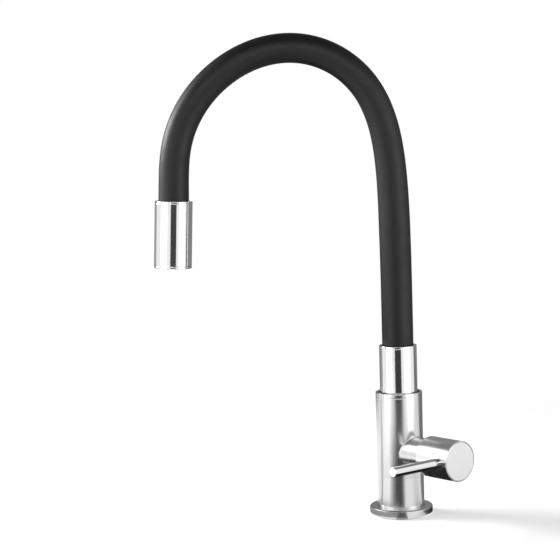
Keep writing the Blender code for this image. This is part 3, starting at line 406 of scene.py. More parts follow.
def turned_ring(name, corners, place, finish, body, node):
    """Settles a ring that is turned from an outline. The outline runs up its outside and down its bore."""
    grid = turned_grid(rounded_outline(corners), ROUND_COLUMNS)
    settle(ring_piece(name, grid, place, finish), body, finish, node)


def turned_solid(name, corners, place, finish, body, node, columns=ROUND_COLUMNS):
    """Settles a solid that is turned from an outline. The outline begins and ends on the axis and runs up
    its outside."""
    grid = turned_grid(rounded_outline(corners, closed=False), columns)
    settle(capped_piece(name, grid, place, finish), body, finish, node)


def on_column_axis(points):
    """The column's own axis is the model's, so its points stay where they are."""
    return points


def along_axis(origin, axis, across):
    """Carries points from a piece's own frame, whose third direction is its axis, to the model's: the
    origin, plus each coordinate times its direction."""
    axis, across = np.array(axis), np.array(across)
    directions = np.stack([across, np.cross(axis, across), axis])
    return lambda points: np.array(origin) + points @ directions


azimuth = math.radians(HANDLE_AZIMUTH_DEGREES)
valve_direction = np.array((math.cos(azimuth), math.sin(azimuth), 0.0))
valve_across = np.array((-math.sin(azimuth), math.cos(azimuth), 0.0))
valve_origin = np.array((0.0, 0.0, VALVE_HEIGHT))
on_valve_axis = along_axis(valve_origin, valve_direction, valve_across)
on_lever_axis = along_axis(valve_origin + LEVER_PLACE * valve_direction, -valve_across, valve_direction)


def running_sum(values, places):
    """The area under a line of values up to each place."""
    strips = (values[1:] + values[:-1]) / 2 * np.diff(places)
    return np.concatenate([[0.0], np.cumsum(strips)])


def make_route():
    """The hose's centre line. Its rate of lean is straight between the bend places. Summing the rate gives
    the lean, and summing the lean's sine and cosine gives the line."""
    shares = np.linspace(0.0, 1.0, ROUTE_SAMPLES + 1)
    lean = running_sum(np.interp(shares, BEND_PLACE_SHARES, np.radians(BEND_RATE_DEGREES)), shares)
    across = -HOSE_LENGTH * running_sum(np.sin(lean), shares)
    up = HOSE_LENGTH * running_sum(np.cos(lean), shares)
    return {"place": shares * HOSE_LENGTH, "lean": lean, "x": across, "z": up + ferrule_high.z}


route = make_route()


def on_hose(points):
    """Carries points of a straight bar onto the hose's centre line. The third coordinate is the place along
    the line, which runs straight on past both ends. There the first coordinate is laid off across the line
    in the plane of the arch, and the second along Y."""
    inside = np.clip(points[:, 2], 0.0, HOSE_LENGTH)
    rest = points[:, 2] - inside
    lean = np.interp(inside, route["place"], route["lean"])
    x = np.interp(inside, route["place"], route["x"]) - rest * np.sin(lean)
    z = np.interp(inside, route["place"], route["z"]) + rest * np.cos(lean)
    return np.stack([x + points[:, 0] * np.cos(lean), points[:, 1], z + points[:, 0] * np.sin(lean)], axis=1)


def hose_point(place_along):
    """A point of the hose's centre line."""
    return on_hose(np.array([[0.0, 0.0, place_along]]))[0]


outlet_lean = route["lean"][-1]
on_outlet_axis = along_axis(
    hose_point(HOSE_LENGTH),
    (math.sin(outlet_lean), 0.0, -math.cos(outlet_lean)),
    (-math.cos(outlet_lean), 0.0, -math.sin(outlet_lean)),
)


def new_group(name, measure, outputs):
    """An empty node group that reads a place and one measure, and its two end nodes."""
    tree = bpy.data.node_groups.new(name, "ShaderNodeTree")
    tree.interface.new_socket("Place", in_out="INPUT", socket_type="NodeSocketVector")
    tree.interface.new_socket(measure, in_out="INPUT", socket_type="NodeSocketFloat")
    for label in outputs:
        tree.interface.new_socket(label, in_out="OUTPUT", socket_type="NodeSocketFloat")
    return tree, tree.nodes.new("NodeGroupInput"), tree.nodes.new("NodeGroupOutput")


def feed(tree, value, socket):
    """Gives a socket its value, which is a constant or another socket."""
    if isinstance(value, bpy.types.NodeSocket):
        tree.links.new(value, socket)
    else:
        socket.default_value = value


def math_node(tree, operation, first, second):
    """A math node between two values."""
    node = tree.nodes.new("ShaderNodeMath")
    node.operation = operation
    feed(tree, first, node.inputs[0])
    feed(tree, second, node.inputs[1])
    return node.outputs[0]


def noise_node(tree, vector, scale, detail, roughness):
    """Noise at a number of waves for each metre."""
    node = tree.nodes.new("ShaderNodeTexNoise")
    node.inputs["Detail"].default_value = detail
    node.inputs["Roughness"].default_value = roughness
    feed(tree, vector, node.inputs["Vector"])
    feed(tree, scale, node.inputs["Scale"])
    return node.outputs["Fac"]


def ramp_node(tree, value, low, high, bottom=0.0, top=1.0):
    """Spreads the stretch between two values smoothly over another."""
    node = tree.nodes.new("ShaderNodeMapRange")
    node.interpolation_type = "SMOOTHSTEP"
    node.inputs["From Min"].default_value = low
    node.inputs["From Max"].default_value = high
    node.inputs["To Min"].default_value = bottom
    node.inputs["To Max"].default_value = top
    tree.links.new(value, node.inputs["Value"])
    return node.outputs["Result"]


def make_turning_lines():
    """Fine lines that run round a piece's axis, as brushing or turning leaves them. They vary with the
    height plus a share of the radius, so that walls, faces and chamfers all have them, and slowly round the
    piece."""
    tree, start, end = new_group("turning_lines", "Pitch", ["Height"])
    parts = tree.nodes.new("ShaderNodeSeparateXYZ")
    tree.links.new(start.outputs["Place"], parts.inputs[0])
    x, y, z = parts.outputs
    square = math_node(tree, "ADD", math_node(tree, "MULTIPLY", x, x), math_node(tree, "MULTIPLY", y, y))
    inward = math_node(tree, "MULTIPLY", math_node(tree, "SQRT", square, 0.0), LINE_INWARD_SHARE)
    height = math_node(tree, "DIVIDE", math_node(tree, "ADD", z, inward), start.outputs["Pitch"])
    join = tree.nodes.new("ShaderNodeCombineXYZ")
    tree.links.new(math_node(tree, "MULTIPLY", x, LINE_DRIFT), join.inputs[0])
    tree.links.new(math_node(tree, "MULTIPLY", y, LINE_DRIFT), join.inputs[1])
    tree.links.new(height, join.inputs[2])
    lines = noise_node(tree, join.outputs[0], scale=1.0, detail=3.0, roughness=0.6)
    tree.links.new(lines, end.inputs["Height"])
    return tree


def make_smudges():
    """Broad soft patches, as handling and wiping leave them."""
    tree, start, end = new_group("smudges", "Scale", ["Mask"])
    broad = noise_node(tree, start.outputs["Place"], start.outputs["Scale"], detail=3.0, roughness=0.5)
    tree.links.new(ramp_node(tree, broad, *SMUDGE_RANGE), end.inputs["Mask"])
    return tree


def make_fine_grain():
    """The skin of a moulded part: a fine pebble for the bump, and rare specks of dust as a mask."""
    tree, start, end = new_group("fine_grain", "Scale", ["Height", "Specks"])
    place, scale = start.outputs["Place"], start.outputs["Scale"]
    tree.links.new(noise_node(tree, place, scale, detail=2.0, roughness=0.5), end.inputs["Height"])
    wider = math_node(tree, "MULTIPLY", scale, SPECK_SCALE_SHARE)
    dust = noise_node(tree, place, wider, detail=1.0, roughness=0.5)
    tree.links.new(ramp_node(tree, dust, *SPECK_RANGE), end.inputs["Specks"])
    return tree


def place_group(tree, group, place, **values):
    """Puts a shared effect into a material, reading the given places, with its own values."""
    node = tree.nodes.new("ShaderNodeGroup")
    node.node_tree = group
    tree.links.new(place, node.inputs["Place"])
    for label, value in values.items():
        node.inputs[label].default_value = value
    return node


def new_material(name):
    """A new material, its nodes and its shader."""
    material = bpy.data.materials.new(name)
    material.use_nodes = True
    tree = material.node_tree
    return material, tree, tree.nodes["Principled BSDF"]


def start_material(name, own_place):
    """A new material with its shader, and the places that its patterns read: the piece's own, or the
    model's for a carried solid."""
    material, tree, shader = new_material(name)
    if own_place:
        source = tree.nodes.new("ShaderNodeAttribute")
        source.attribute_name = "own_place"
        place = source.outputs["Vector"]
    else:
        source = tree.nodes.new("ShaderNodeTexCoord")
        place = source.outputs["Object"]
    return material, tree, shader, place


def mix_colours(tree, mask, low, high):
    """Mixes two colours by a mask. The low one may be a socket."""
    node = tree.nodes.new("ShaderNodeMix")
    node.data_type = "RGBA"
    feed(tree, low if isinstance(low, bpy.types.NodeSocket) else (*low, 1.0), node.inputs[6])
    node.inputs[7].default_value = (*high, 1.0)
    tree.links.new(mask, node.inputs[0])
    return node.outputs[2]


def mix_shaders(tree, mask, first, second):
    """Mixes two shaders by a mask."""
    node = tree.nodes.new("ShaderNodeMixShader")
    for socket, value in zip(node.inputs, (mask, first, second)):
        tree.links.new(value, socket)
    return node.outputs[0]


def seen_ray(tree):
    """One for what the camera sees straight, in a reflection or through glass, and nothing for the rest."""
    path = tree.nodes.new("ShaderNodeLightPath")
    seen = math_node(tree, "ADD", path.outputs["Is Camera Ray"], path.outputs["Is Glossy Ray"])
    seen = math_node(tree, "ADD", seen, path.outputs["Is Transmission Ray"])
    return math_node(tree, "MINIMUM", seen, 1.0)


def add_bump(tree, shader, height, distance):
    """Turns a height into the shader's normal."""
    bump = tree.nodes.new("ShaderNodeBump")
    bump.inputs["Distance"].default_value = distance
    tree.links.new(height, bump.inputs["Height"])
    tree.links.new(bump.outputs["Normal"], shader.inputs["Normal"])


def metal(name, colour, roughness, spread, pitch, depth, own_place):
    """A worked metal: turning lines in its roughness and bump, and smudges in its roughness and colour."""
    material, tree, shader, place = start_material(name, own_place)
    shader.inputs["Metallic"].default_value = 1.0
    lines = place_group(tree, groups["turning_lines"], place, Pitch=pitch).outputs["Height"]
    smudge = place_group(tree, groups["smudges"], place, Scale=METAL_SMUDGE_SCALE).outputs["Mask"]
    colour = np.array(colour)
    base = mix_colours(tree, smudge, colour, colour * METAL_SMUDGE_SHADE)
    tree.links.new(base, shader.inputs["Base Color"])
    worn = ramp_node(tree, lines, *LINE_RANGE, roughness - spread, roughness + spread)
    smudged = math_node(tree, "MULTIPLY", smudge, spread)
    tree.links.new(math_node(tree, "ADD", worn, smudged), shader.inputs["Roughness"])
    add_bump(tree, shader, lines, depth)
    return material


def moulded(name, colour, roughness, scale, depth, shine=0.5, own_place=False, speck_colour=None):
    """A moulded rubber, plastic or ceramic: a fine pebble, faint patches, and dust where it has any."""
    material, tree, shader, place = start_material(name, own_place)
    shader.inputs["Specular IOR Level"].default_value = shine
    grain = place_group(tree, groups["fine_grain"], place, Scale=scale)
    smudge = place_group(tree, groups["smudges"], place, Scale=MOULDED_SMUDGE_SCALE).outputs["Mask"]
    colour = np.array(colour)
    base = mix_colours(tree, smudge, colour, colour * MOULDED_SMUDGE_SHADE)
    if speck_colour is not None:
        base = mix_colours(tree, grain.outputs["Specks"], base, speck_colour)
    tree.links.new(base, shader.inputs["Base Color"])
    worn = ramp_node(tree, smudge, 0.0, 1.0, roughness, roughness + MOULDED_SMUDGE_ROUGHNESS)
    tree.links.new(worn, shader.inputs["Roughness"])
    add_bump(tree, shader, grain.outputs["Height"], depth)
    return material


def make_finishes(colours):
    """The shared effects and every finish of the faucet, each by the name of its slot in the record."""
    groups["turning_lines"] = make_turning_lines()
    groups["smudges"] = make_smudges()
    groups["fine_grain"] = make_fine_grain()
    colour = {
        "brushed_steel": tuple(colours.steel),
        "satin_steel": tuple(colours.satin),
        "polished_steel": tuple(colours.polish),
        "black_silicone": tuple(colours.silicone),
        **FIXED_COLOURS,
    }
    for make, table in ((metal, METALS), (moulded, MOULDED)):
        for name, looks in table.items():
            finishes[name] = make(name, colour[name], *looks)


def length_setting(label, description, default):
    """A length in the sidebar."""
    return FloatProperty(name=label, description=description, default=default, unit="LENGTH")


def colour_setting(label, description, default):
    """A colour in the sidebar."""
    return FloatVectorProperty(name=label, description=description, default=default, subtype="COLOR")


class FaucetSizes(PropertyGroup):
    """Sizes of the visible pieces."""

    column_radius: length_setting("Column radius", "Outer radius of the column", -column_low.x)
    flange_radius: length_setting("Flange radius", "Radius of the ring at the foot", flange_high.y)
    hub_radius: length_setting("Handle radius", "Radius of the round handle", HUB_RADIUS)
    lever_radius: length_setting("Lever radius", "Radius of the lever rod", LEVER_RADIUS)
    sleeve_radius: length_setting("Sleeve radius", "Radius of both bright sleeves", ferrule_high.y)
    hose_radius: length_setting("Hose radius", "Outer radius of the hose", HOSE_RADIUS)


class FaucetColours(PropertyGroup):
    """Colours of the main finishes and of the floor."""

    steel: colour_setting("Steel", "Colour of the brushed steel", (0.68, 0.68, 0.68))
    satin: colour_setting("Satin", "Colour of the round handle", (0.82, 0.82, 0.82))
    polish: colour_setting("Polish", "Colour of the polished sleeves", (0.84, 0.84, 0.85))
    silicone: colour_setting("Silicone", "Colour of the hose", (0.007, 0.007, 0.008))
    floor: colour_setting("Floor", "Colour of the studio floor", (0.90, 0.90, 0.90))


class FAUCET_OT_column(Operator):
    """Builds the steel column with its welded valve stub, and the dark guide ring in its mouth"""

    bl_idname = "faucet.column"
    bl_label = "Column"

    def execute(self, context):
        outer = context.scene.faucet_sizes.column_radius
        bore = outer - COLUMN_WALL
        top, bottom = column_high.z, column_low.z
        corners = [
            (outer, bottom, FINE_EDGE),
            *groove(outer, top - MOUTH_LINE, LIP_GROOVE),
            (outer, top, COLUMN_EDGE),
            (bore, top, COLUMN_EDGE),
            (bore, bottom, FINE_EDGE),
        ]
        turned_ring("column_tube", corners, on_column_axis, "brushed_steel", "column", "column_body")
        stub = ring_piece("valve_stub", self.stub_grid(outer), on_valve_axis, "brushed_steel")
        settle(stub, "column", "brushed_steel", "column_body")
        corners = plain_ring(guide_high.y, ferrule_high.y + GUIDE_GAP, guide_low.z, guide_high.z)
        turned_ring("mouth_guide", corners, on_column_axis, "grey_plastic", "column", "guide_ring")
        return {"FINISHED"}

    def stub_grid(self, column_radius):
        """A tube round the valve's axis whose root follows the column. At a distance aside from that axis
        the column's wall lies at the root of its radius squared less the distance squared. The weld is a
        quarter round from the stub's wall to the column's."""
        angles = np.linspace(0.0, math.tau, ROUND_COLUMNS, endpoint=False)

        def wall(radius):
            return np.sqrt(column_radius**2 - (radius * np.cos(angles)) ** 2)

        sunk = COLUMN_WALL / 2
        rows = [(STUB_RADIUS + WELD_SIZE, wall(STUB_RADIUS + WELD_SIZE) - sunk)]
        for turn in np.linspace(math.pi / 2, 0.0, WELD_STEPS):
            radius = STUB_RADIUS + WELD_SIZE * (1 - math.cos(turn))
            rows.append((radius, wall(radius) + WELD_SIZE * (1 - math.sin(turn))))
        root = rows[-1][1]
        for share in np.linspace(0.0, 1.0, WALL_STEPS + 1)[1:]:
            rows.append((STUB_RADIUS, root + (STUB_END - FINE_EDGE - root) * share))
        end = np.full_like(angles, STUB_END)
        rows += [(STUB_RADIUS - FINE_EDGE, end), (STUB_BORE, end), (STUB_BORE, wall(STUB_BORE) - sunk)]
        circle = np.stack([np.cos(angles), np.sin(angles)])
        return np.stack([np.stack([*(radius * circle), place], axis=1) for radius, place in rows])


class FAUCET_OT_base(Operator):
    """Builds the chamfered cover ring and the rubber gasket under it"""

    bl_idname = "faucet.base"
    bl_label = "Base"

    def execute(self, context):
        sizes = context.scene.faucet_sizes
        outer = sizes.flange_radius
        bore = sizes.column_radius + FLANGE_GAP
        top, foot, seat = flange_high.z, flange_low.z, column_low.z
        corners = fine_corners(
            (outer - FLANGE_FOOT_CHAMFER, foot),
            (outer, foot + FLANGE_FOOT_CHAMFER),
            (outer, top - FLANGE_TOP_CHAMFER),
            (outer - FLANGE_TOP_CHAMFER, top),
            (bore, top),
            (bore, seat),
            (FLANGE_RECESS, seat),
            (FLANGE_RECESS, foot),
        )
        turned_ring("cover_ring", corners, on_column_axis, "brushed_steel", "column", "base_flange")
        corners = plain_ring(gasket_high.y, GASKET_BORE, gasket_low.z, gasket_high.z)
        turned_ring("deck_gasket", corners, on_column_axis, "black_rubber", "column", "base_gasket")
        return {"FINISHED"}


class FAUCET_OT_handle(Operator):
    """Builds the round handle, the disc in its face and the lever rod"""

    bl_idname = "faucet.handle"
    bl_label = "Handle"

    def execute(self, context):
        sizes = context.scene.faucet_sizes
        outer = sizes.hub_radius
        recess = CAP_RADIUS + CAP_GAP
        floor = HUB_FACE - CAP_THICKNESS - CAP_GAP
        corners = [
            (0.0, HUB_CAVITY_END, 0.0),
            (HUB_CAVITY, HUB_CAVITY_END, FINE_EDGE),
            (HUB_CAVITY, HUB_BACK, FINE_EDGE),
            (outer, HUB_BACK, LEVER_EDGE),
            (outer, HUB_FACE, HUB_EDGE),
            (recess, HUB_FACE, FINE_EDGE),
            (recess, floor, FINE_EDGE),
            (0.0, floor, 0.0),
        ]
        turned_solid("round_handle", corners, on_valve_axis, "satin_steel", "handle", "handle_hub")
        corners = plain_rod(CAP_RADIUS, HUB_FACE - CAP_THICKNESS, HUB_FACE, FINE_EDGE, SOFT_EDGE)
        turned_solid("face_disc", corners, on_valve_axis, "satin_steel", "handle", "handle_cap")
        corners = plain_rod(sizes.lever_radius, LEVER_ROOT, LEVER_TIP, LEVER_EDGE, LEVER_EDGE)
        finish, body, node = "polished_steel", "handle", "lever_rod"
        turned_solid("lever_pin", corners, on_lever_axis, finish, body, node, SMALL_COLUMNS)
        return {"FINISHED"}


class FAUCET_OT_sleeves(Operator):
    """Builds the two bright sleeves, each with a faint lip, that grip the hose's ends"""

    bl_idname = "faucet.sleeves"
    bl_label = "Sleeves"

    def execute(self, context):
        radius = context.scene.faucet_sizes.sleeve_radius
        top, bottom = ferrule_high.z, ferrule_low.z
        corners = [
            (radius, bottom, FINE_EDGE),
            *groove(radius, top - LIP_WIDTH, LIP_GROOVE),
            (radius, top, LIP_EDGE),
            (MOUTH_RADIUS, top, SOFT_EDGE),
            (MOUTH_RADIUS, top - MOUTH_DEPTH, FINE_EDGE),
            (SLEEVE_BORE, top - MOUTH_DEPTH, FINE_EDGE),
            (SLEEVE_BORE, bottom, FINE_EDGE),
        ]
        turned_ring("lower_sleeve", corners, on_column_axis, "polished_steel", "spout_base", "lower_ferrule")
        corners = [
            (SLEEVE_THREAD_BORE, -SLEEVE_LENGTH, SOFT_EDGE),
            (radius, -SLEEVE_LENGTH, SOFT_EDGE),
            *groove(radius, LIP_WIDTH - SLEEVE_LENGTH, LIP_GROOVE),
            *groove(radius, -LIP_WIDTH, LIP_GROOVE),
            (radius, 0.0, LIP_EDGE),
            (MOUTH_RADIUS, 0.0, SOFT_EDGE),
            (MOUTH_RADIUS, -MOUTH_DEPTH, FINE_EDGE),
            (SLEEVE_BORE, -MOUTH_DEPTH, FINE_EDGE),
            (SLEEVE_BORE, -SLEEVE_THREAD_TOP, FINE_EDGE),
            (SLEEVE_THREAD_BORE, -SLEEVE_THREAD_TOP, FINE_EDGE),
        ]
        turned_ring("upper_sleeve", corners, on_outlet_axis, "polished_steel", "outlet", "outlet_sleeve")
        return {"FINISHED"}


class FAUCET_OT_hose(Operator):
    """Builds the silicone skin, the wound core and the water liner, in one stretch for each joint"""

    bl_idname = "faucet.hose"
    bl_label = "Hose"

    def execute(self, context):
        radius = context.scene.faucet_sizes.hose_radius
        for number in range(1, HOSE_JOINTS + 1):
            start = HOSE_START if number == 1 else (number - 1) * HOSE_PITCH
            end = HOSE_END if number == HOSE_JOINTS else number * HOSE_PITCH
            places = self.rings(start, end, SKIN_RING_SPACING)
            widths = radius * np.interp(places / HOSE_LENGTH, BEND_PLACE_SHARES, SKIN_WIDTH_SHARES)
            name = f"skin_{number}"
            skin = self.tube(name, places, widths, SKIN_BORE, SKIN_COLUMNS, "black_silicone")
            self.bend(skin, number, "black_silicone", "hose_skin")
            core = self.core(f"winding_{number}", start, end)
            self.bend(core, number, "spring_steel", "hose_core")
            places = self.rings(start, end, LINER_RING_SPACING)
            widths = np.full(len(places), LINER_RADIUS)
            name = f"liner_{number}"
            liner = self.tube(name, places, widths, LINER_BORE, HIDDEN_COLUMNS, "white_plastic")
            self.bend(liner, number, "white_plastic", "hose_liner")
        return {"FINISHED"}

    def tube(self, name, places, widths, bore, columns, finish):
        """A stretch of tube: rings at the given places up the outside, each with its own radius, then down
        the bore at one radius."""
        outline = np.concatenate([np.stack([widths, places], axis=1), self.wall(bore, places[::-1])])
        return ring_piece(name, turned_grid(outline, columns), on_hose, finish)

    def core(self, name, start, end):
        """A stretch of wound core. Its radius swells and shrinks as a cosine of the place along the hose,
        counted from the hose's start, so that the ribs run on from piece to piece."""
        places = self.rings(start, end, CORE_RIB_PITCH / RINGS_PER_RIB)
        swell = (1 + np.cos(math.tau * (places - HOSE_START) / CORE_RIB_PITCH)) / 2
        outer = np.stack([CORE_RADIUS - CORE_RIB_DEPTH * (1 - swell), places], axis=1)
        outline = np.concatenate([outer, self.wall(CORE_BORE, np.linspace(end, start, CORE_BORE_RINGS))])
        return ring_piece(name, turned_grid(outline, HIDDEN_COLUMNS), on_hose, "winding_steel")

    def rings(self, start, end, spacing):
        """Places of a stretch's rings, with a short step at each end, so that two stretches shade alike
        where they meet."""
        count = round((end - start) / spacing) + 1
        middle = np.linspace(start + END_RING, end - END_RING, count)
        return np.concatenate([[start], middle, [end]])

    def wall(self, radius, places):
        """Outline points at one radius."""
        return np.stack([np.full(len(places), radius), places], axis=1)

    def bend(self, piece, number, slot, layer):
        """Fixes a stretch's place into its mesh and hides the solids of its layer on both sides of its
        joint. It also works out the bodies before and after the joint and where a turn would begin and end
        inside the stretch, but nothing uses them."""
        bodies = ["spout_base"] + [f"hose_{i}" for i in range(2, HOSE_JOINTS + 1)] + ["outlet"]
        pair = bodies[number - 1 : number + 1]
        ends = [(number - 1) * HOSE_PITCH + BLEND_INSET, number * HOSE_PITCH - BLEND_INSET]
        if number == HOSE_JOINTS:
            # The bodies and the ends, listed from the outlet's end. With every joint at its lowest value,
            # the place of its axis can't be worked out in the other order.
            pair.reverse()
            ends.reverse()
        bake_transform(piece)
        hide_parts(f"{layer}_{number}", f"{layer}_{number + 1}")


class FAUCET_OT_aerator(Operator):
    """Builds the aerator's threaded ring and the slotted spray insert in it"""

    bl_idname = "faucet.aerator"
    bl_label = "Aerator"

    def execute(self, context):
        corners = [
            (AERATOR_BORE, -AERATOR_BOTTOM, FINE_EDGE),
            (AERATOR_RADIUS, -AERATOR_BOTTOM, SOFT_EDGE),
            *fine_corners(
                (AERATOR_RADIUS, -AERATOR_TOP),
                (AERATOR_BORE, -AERATOR_TOP),
                (AERATOR_BORE, -AERATOR_LEDGE_TOP),
                (AERATOR_LEDGE, -AERATOR_LEDGE_TOP),
                (AERATOR_LEDGE, -AERATOR_LEDGE_BOTTOM),
                (AERATOR_BORE, -AERATOR_LEDGE_BOTTOM),
            ),
        ]
        turned_ring("aerator_ring", corners, on_outlet_axis, "polished_steel", "outlet", "aerator_housing")
        corners = [
            (INSERT_RADIUS, -INSERT_BOTTOM, SOFT_EDGE),
            (INSERT_RADIUS, -INSERT_TOP, FINE_EDGE),
            (INSERT_RIM, -INSERT_TOP, FINE_EDGE),
            (INSERT_RIM, -INSERT_BOTTOM, FINE_EDGE),
        ]
        finish, body, node = "grey_plastic", "outlet", "aerator_insert"
        turned_ring("insert_rim", corners, on_outlet_axis, finish, body, node)
        corners = plain_rod(INSERT_HUB, -INSERT_BOTTOM, -INSERT_TOP, SOFT_EDGE, FINE_EDGE)
        turned_solid("insert_hub", corners, on_outlet_axis, finish, body, node, SMALL_COLUMNS)
        settle(self.ribs(), body, finish, node)
        return {"FINISHED"}

    def ribs(self):
        """The ribs between the insert's slots. At each radius a rib reaches half a pitch to each side, less
        the angle whose sine is half a slot over the radius. Its section is a box, and its ends are sunk into
        the hub and the rim."""
        radius = np.linspace(INSERT_HUB - RIB_SINK, INSERT_RIM + RIB_SINK, RIB_PLACES)
        half = math.pi / INSERT_RIBS - np.arcsin(INSERT_SLOT_WIDTH / 2 / radius)
        low, high = -INSERT_BOTTOM, -INSERT_TOP
        angle = np.stack([half, half, -half, -half], axis=1)
        height = np.array([low, high, high, low])
        vertices, faces = [], []
        for number in range(INSERT_RIBS):
            turn = math.tau * number / INSERT_RIBS + angle
            x, y = radius[:, None] * np.cos(turn), radius[:, None] * np.sin(turn)
            rib = np.stack([x, y, np.broadcast_to(height, x.shape)], axis=2)
            rows, columns = rib.shape[:2]
            first = number * rows * columns
            last = first + (rows - 1) * columns
            vertices.append(rib.reshape(-1, 3))
            faces += (grid_faces(rows, columns, closed=False) + first).tolist()
            faces += [[first + 3, first + 2, first + 1, first], [last, last + 1, last + 2, last + 3]]
        own = np.concatenate(vertices)
        return mesh_piece("insert_ribs", on_outlet_axis(own), faces, own, "grey_plastic")


class FAUCET_OT_inside(Operator):
    """Gives every solid that is carried over from the model its finish"""

    bl_idname = "faucet.inside"
    bl_label = "Parts inside"

    def execute(self, context):
        slots = {entry["node"]: entry["material_slot"] for entry in frame["record"]["subparts"]}
        for name, node in frame["nodes"].items():
            node.data.materials.clear()
            node.data.materials.append(finishes[slots[name]])
        return {"FINISHED"}


class FAUCET_OT_stage(Operator):
    """Builds the floor, the world, the soft lamps, the cards that the faucet reflects, and the camera"""

    bl_idname = "faucet.stage"
    bl_label = "Studio"

    def execute(self, context):
        self.make_floor(tuple(context.scene.faucet_colours.floor))
        self.make_world(context.scene)
        for name, values in LAMPS.items():
            self.make_lamp(name, *values)
        for name, (form, measures, grey) in CARDS.items():
            self.make_card(name, getattr(self, form)(*measures), grey, name in ONE_SIDED_CARDS)
        self.make_camera(context.scene)
        context.scene.view_settings.view_transform = "Standard"
        return {"FINISHED"}

    def upright(self, centre, width, height):
        """The lower and the upper edge of an upright rectangle that faces along Y."""
        sides = np.array([[-width / 2, 0.0, 0.0], [width / 2, 0.0, 0.0]])
        rise = np.array([0.0, 0.0, height / 2])
        return np.array(centre) + np.stack([sides - rise, sides + rise])

    def level(self, centre, width, depth):
        """The near and the far edge of a level rectangle."""
        sides = np.array([[-width / 2, 0.0, 0.0], [width / 2, 0.0, 0.0]])
        way = np.array([0.0, depth / 2, 0.0])
        return np.array(centre) + np.stack([sides - way, sides + way])

    def sloped(self, foot, head, near, far):
        """The lower and the upper edge of a rectangle that slopes up along X, each from its (x, height)."""
        return np.array([[(x, y, height) for y in (near, far)] for x, height in (foot, head)])

    def sector(self, inner, outer, first, last):
        """The inner and the outer edge of a patch round the column, each from its (distance, height). A
        point lies at the distance times the sine and minus the cosine of its direction, in degrees from
        the camera's side towards +X."""
        turns = np.radians(np.linspace(first, last, SECTOR_STEPS + 1))
        circle = np.stack([np.sin(turns), -np.cos(turns), 0.0 * turns], axis=1)
        edges = [reach * circle + np.array([0.0, 0.0, height]) for reach, height in (inner, outer)]
        return np.stack(edges)

    def make_plane(self, name, edges, material):
        """A strip of quads between two edges."""
        index = np.arange(edges.shape[0] * edges.shape[1]).reshape(edges.shape[:2])
        faces = np.stack([index[0, :-1], index[0, 1:], index[1, 1:], index[1, :-1]], axis=1)
        mesh = bpy.data.meshes.new(name)
        mesh.from_pydata(edges.reshape(-1, 3).tolist(), [], faces.tolist())
        mesh.materials.append(material)
        card = new_object(name, mesh)
        return card

    def make_floor(self, colour):
        """A pale floor, near white to the camera and in reflections, that keeps the faucet's shadow and
        fades into the white background away from it."""
        material, tree, shader = new_material("studio_floor")
        shader.inputs["Base Color"].default_value = (*colour, 1.0)
        shader.inputs["Roughness"].default_value = FLOOR_ROUGHNESS
        shader.inputs["Specular IOR Level"].default_value = 0.0
        place = tree.nodes.new("ShaderNodeTexCoord")
        length = tree.nodes.new("ShaderNodeVectorMath")
        length.operation = "LENGTH"
        tree.links.new(place.outputs["Object"], length.inputs[0])
        fade = ramp_node(tree, length.outputs["Value"], FLOOR_FADE_START, FLOOR_FADE_END)
        glow = tree.nodes.new("ShaderNodeEmission")
        tree.links.new(math_node(tree, "MULTIPLY", seen_ray(tree), FLOOR_GLOW), glow.inputs["Strength"])
        lit = tree.nodes.new("ShaderNodeAddShader")
        tree.links.new(shader.outputs[0], lit.inputs[0])
        tree.links.new(glow.outputs[0], lit.inputs[1])
        clear = tree.nodes.new("ShaderNodeBsdfTransparent")
        shown = mix_shaders(tree, fade, lit.outputs[0], clear.outputs[0])
        tree.links.new(shown, tree.nodes["Material Output"].inputs["Surface"])
        self.make_plane("floor", self.level((0.0, 0.0, 0.0), FLOOR_SIDE, FLOOR_SIDE), material)

    def make_world(self, scene):
        """A world that is white to the camera and in reflections, and gives an even, softer light."""
        world = bpy.data.worlds.new("studio_world")
        world.use_nodes = True
        tree = world.node_tree
        shown = tree.nodes["Background"]
        shown.inputs["Color"].default_value = (1.0, 1.0, 1.0, 1.0)
        light = tree.nodes.new("ShaderNodeBackground")
        light.inputs["Strength"].default_value = WORLD_LIGHT
        mix = mix_shaders(tree, seen_ray(tree), light.outputs[0], shown.outputs[0])
        tree.links.new(mix, tree.nodes["World Output"].inputs["Surface"])
        scene.world = world

    def make_lamp(self, name, place, target, width, height, radiance):
        """An area lamp of a given brightness: its power is the brightness times pi times its area. Two are
        softboxes at the sides, and one stands behind the hose's left shoulder."""
        lamp = bpy.data.lights.new(name, "AREA")
        lamp.shape = "RECTANGLE"
        lamp.size = width
        lamp.size_y = height
        lamp.energy = radiance * math.pi * width * height
        holder = new_object(name, lamp)
        holder.location = place
        holder.rotation_euler = (Vector(place) - Vector(target)).to_track_quat("Z", "Y").to_euler()

    def make_card(self, name, edges, grey, one_sided):
        """A card that only reflections see. Dark ones stand for the dim room, and some are painted shade on
        the floor round the foot and under the handle. Bright ones stand for lit paper, and the ring under
        the flange's foot is a painted reflection. A one-sided card is clear from its back."""
        material, tree, shader = new_material(name)
        tree.nodes.remove(shader)
        glow = tree.nodes.new("ShaderNodeEmission")
        glow.inputs["Color"].default_value = (grey, grey, grey, 1.0)
        shown = glow.outputs[0]
        if one_sided:
            side = tree.nodes.new("ShaderNodeNewGeometry").outputs["Backfacing"]
            clear = tree.nodes.new("ShaderNodeBsdfTransparent").outputs[0]
            shown = mix_shaders(tree, side, shown, clear)
        tree.links.new(shown, tree.nodes["Material Output"].inputs["Surface"])
        card = self.make_plane(name, edges, material)
        for ray in ("camera", "diffuse", "shadow", "transmission", "volume_scatter"):
            setattr(card, f"visible_{ray}", False)

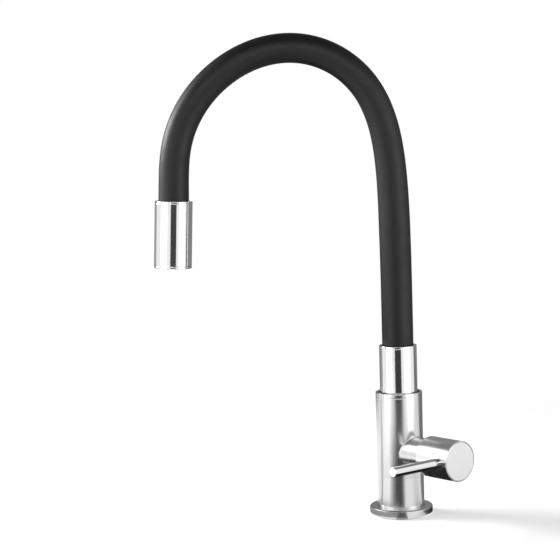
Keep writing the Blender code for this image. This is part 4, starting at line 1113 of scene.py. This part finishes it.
    def make_camera(self, scene):
        """The camera looks along +Y, pitched down and rolled as in the photograph. Its lens is the focal
        length in pixels over the picture's side, times the sensor's width."""
        pitch, roll = math.radians(CAMERA_PITCH_DEGREES), math.radians(CAMERA_ROLL_DEGREES)
        forward = Vector((0.0, math.cos(pitch), -math.sin(pitch)))
        level_up = Vector((0.0, math.sin(pitch), math.cos(pitch)))
        level_right = Vector((1.0, 0.0, 0.0))
        right = level_right * math.cos(roll) - level_up * math.sin(roll)
        up = level_up * math.cos(roll) + level_right * math.sin(roll)
        camera = bpy.data.cameras.new("studio_camera")
        camera.sensor_width = SENSOR_WIDTH
        camera.lens = FOCAL_PIXELS * SENSOR_WIDTH / PICTURE_SIDE
        holder = new_object("studio_camera", camera)
        turn = Matrix((right, up, -forward)).transposed()
        holder.matrix_world = Matrix.Translation(CAMERA_PLACE) @ turn.to_4x4()
        scene.camera = holder


class FAUCET_PT_panel(Panel):
    """Lists the faucet's pieces in the 3D view's sidebar"""

    bl_label = "Flexible Kitchen Faucet"
    bl_idname = "FAUCET_PT_panel"
    bl_space_type = "VIEW_3D"
    bl_region_type = "UI"
    bl_category = "Faucet"

    def draw(self, context):
        layout = self.layout
        for group in (context.scene.faucet_sizes, context.scene.faucet_colours):
            box = layout.box()
            for name in group.__annotations__:
                box.prop(group, name)
        for operator in operators:
            layout.operator(operator.bl_idname)


operators = (
    FAUCET_OT_inside,
    FAUCET_OT_column,
    FAUCET_OT_base,
    FAUCET_OT_handle,
    FAUCET_OT_sleeves,
    FAUCET_OT_hose,
    FAUCET_OT_aerator,
    FAUCET_OT_stage,
)
classes = (FaucetSizes, FaucetColours, *operators, FAUCET_PT_panel)


def register():
    for kind in classes:
        bpy.utils.register_class(kind)
    bpy.types.Scene.faucet_sizes = PointerProperty(type=FaucetSizes)
    bpy.types.Scene.faucet_colours = PointerProperty(type=FaucetColours)


def unregister():
    del bpy.types.Scene.faucet_colours
    del bpy.types.Scene.faucet_sizes
    for kind in reversed(classes):
        bpy.utils.unregister_class(kind)


def main():
    """Builds the whole faucet and its studio."""
    register()
    make_finishes(bpy.context.scene.faucet_colours)
    for operator in operators:
        group, name = operator.bl_idname.split(".")
        getattr(getattr(bpy.ops, group), name)()


if __name__ == "__main__":
    main()
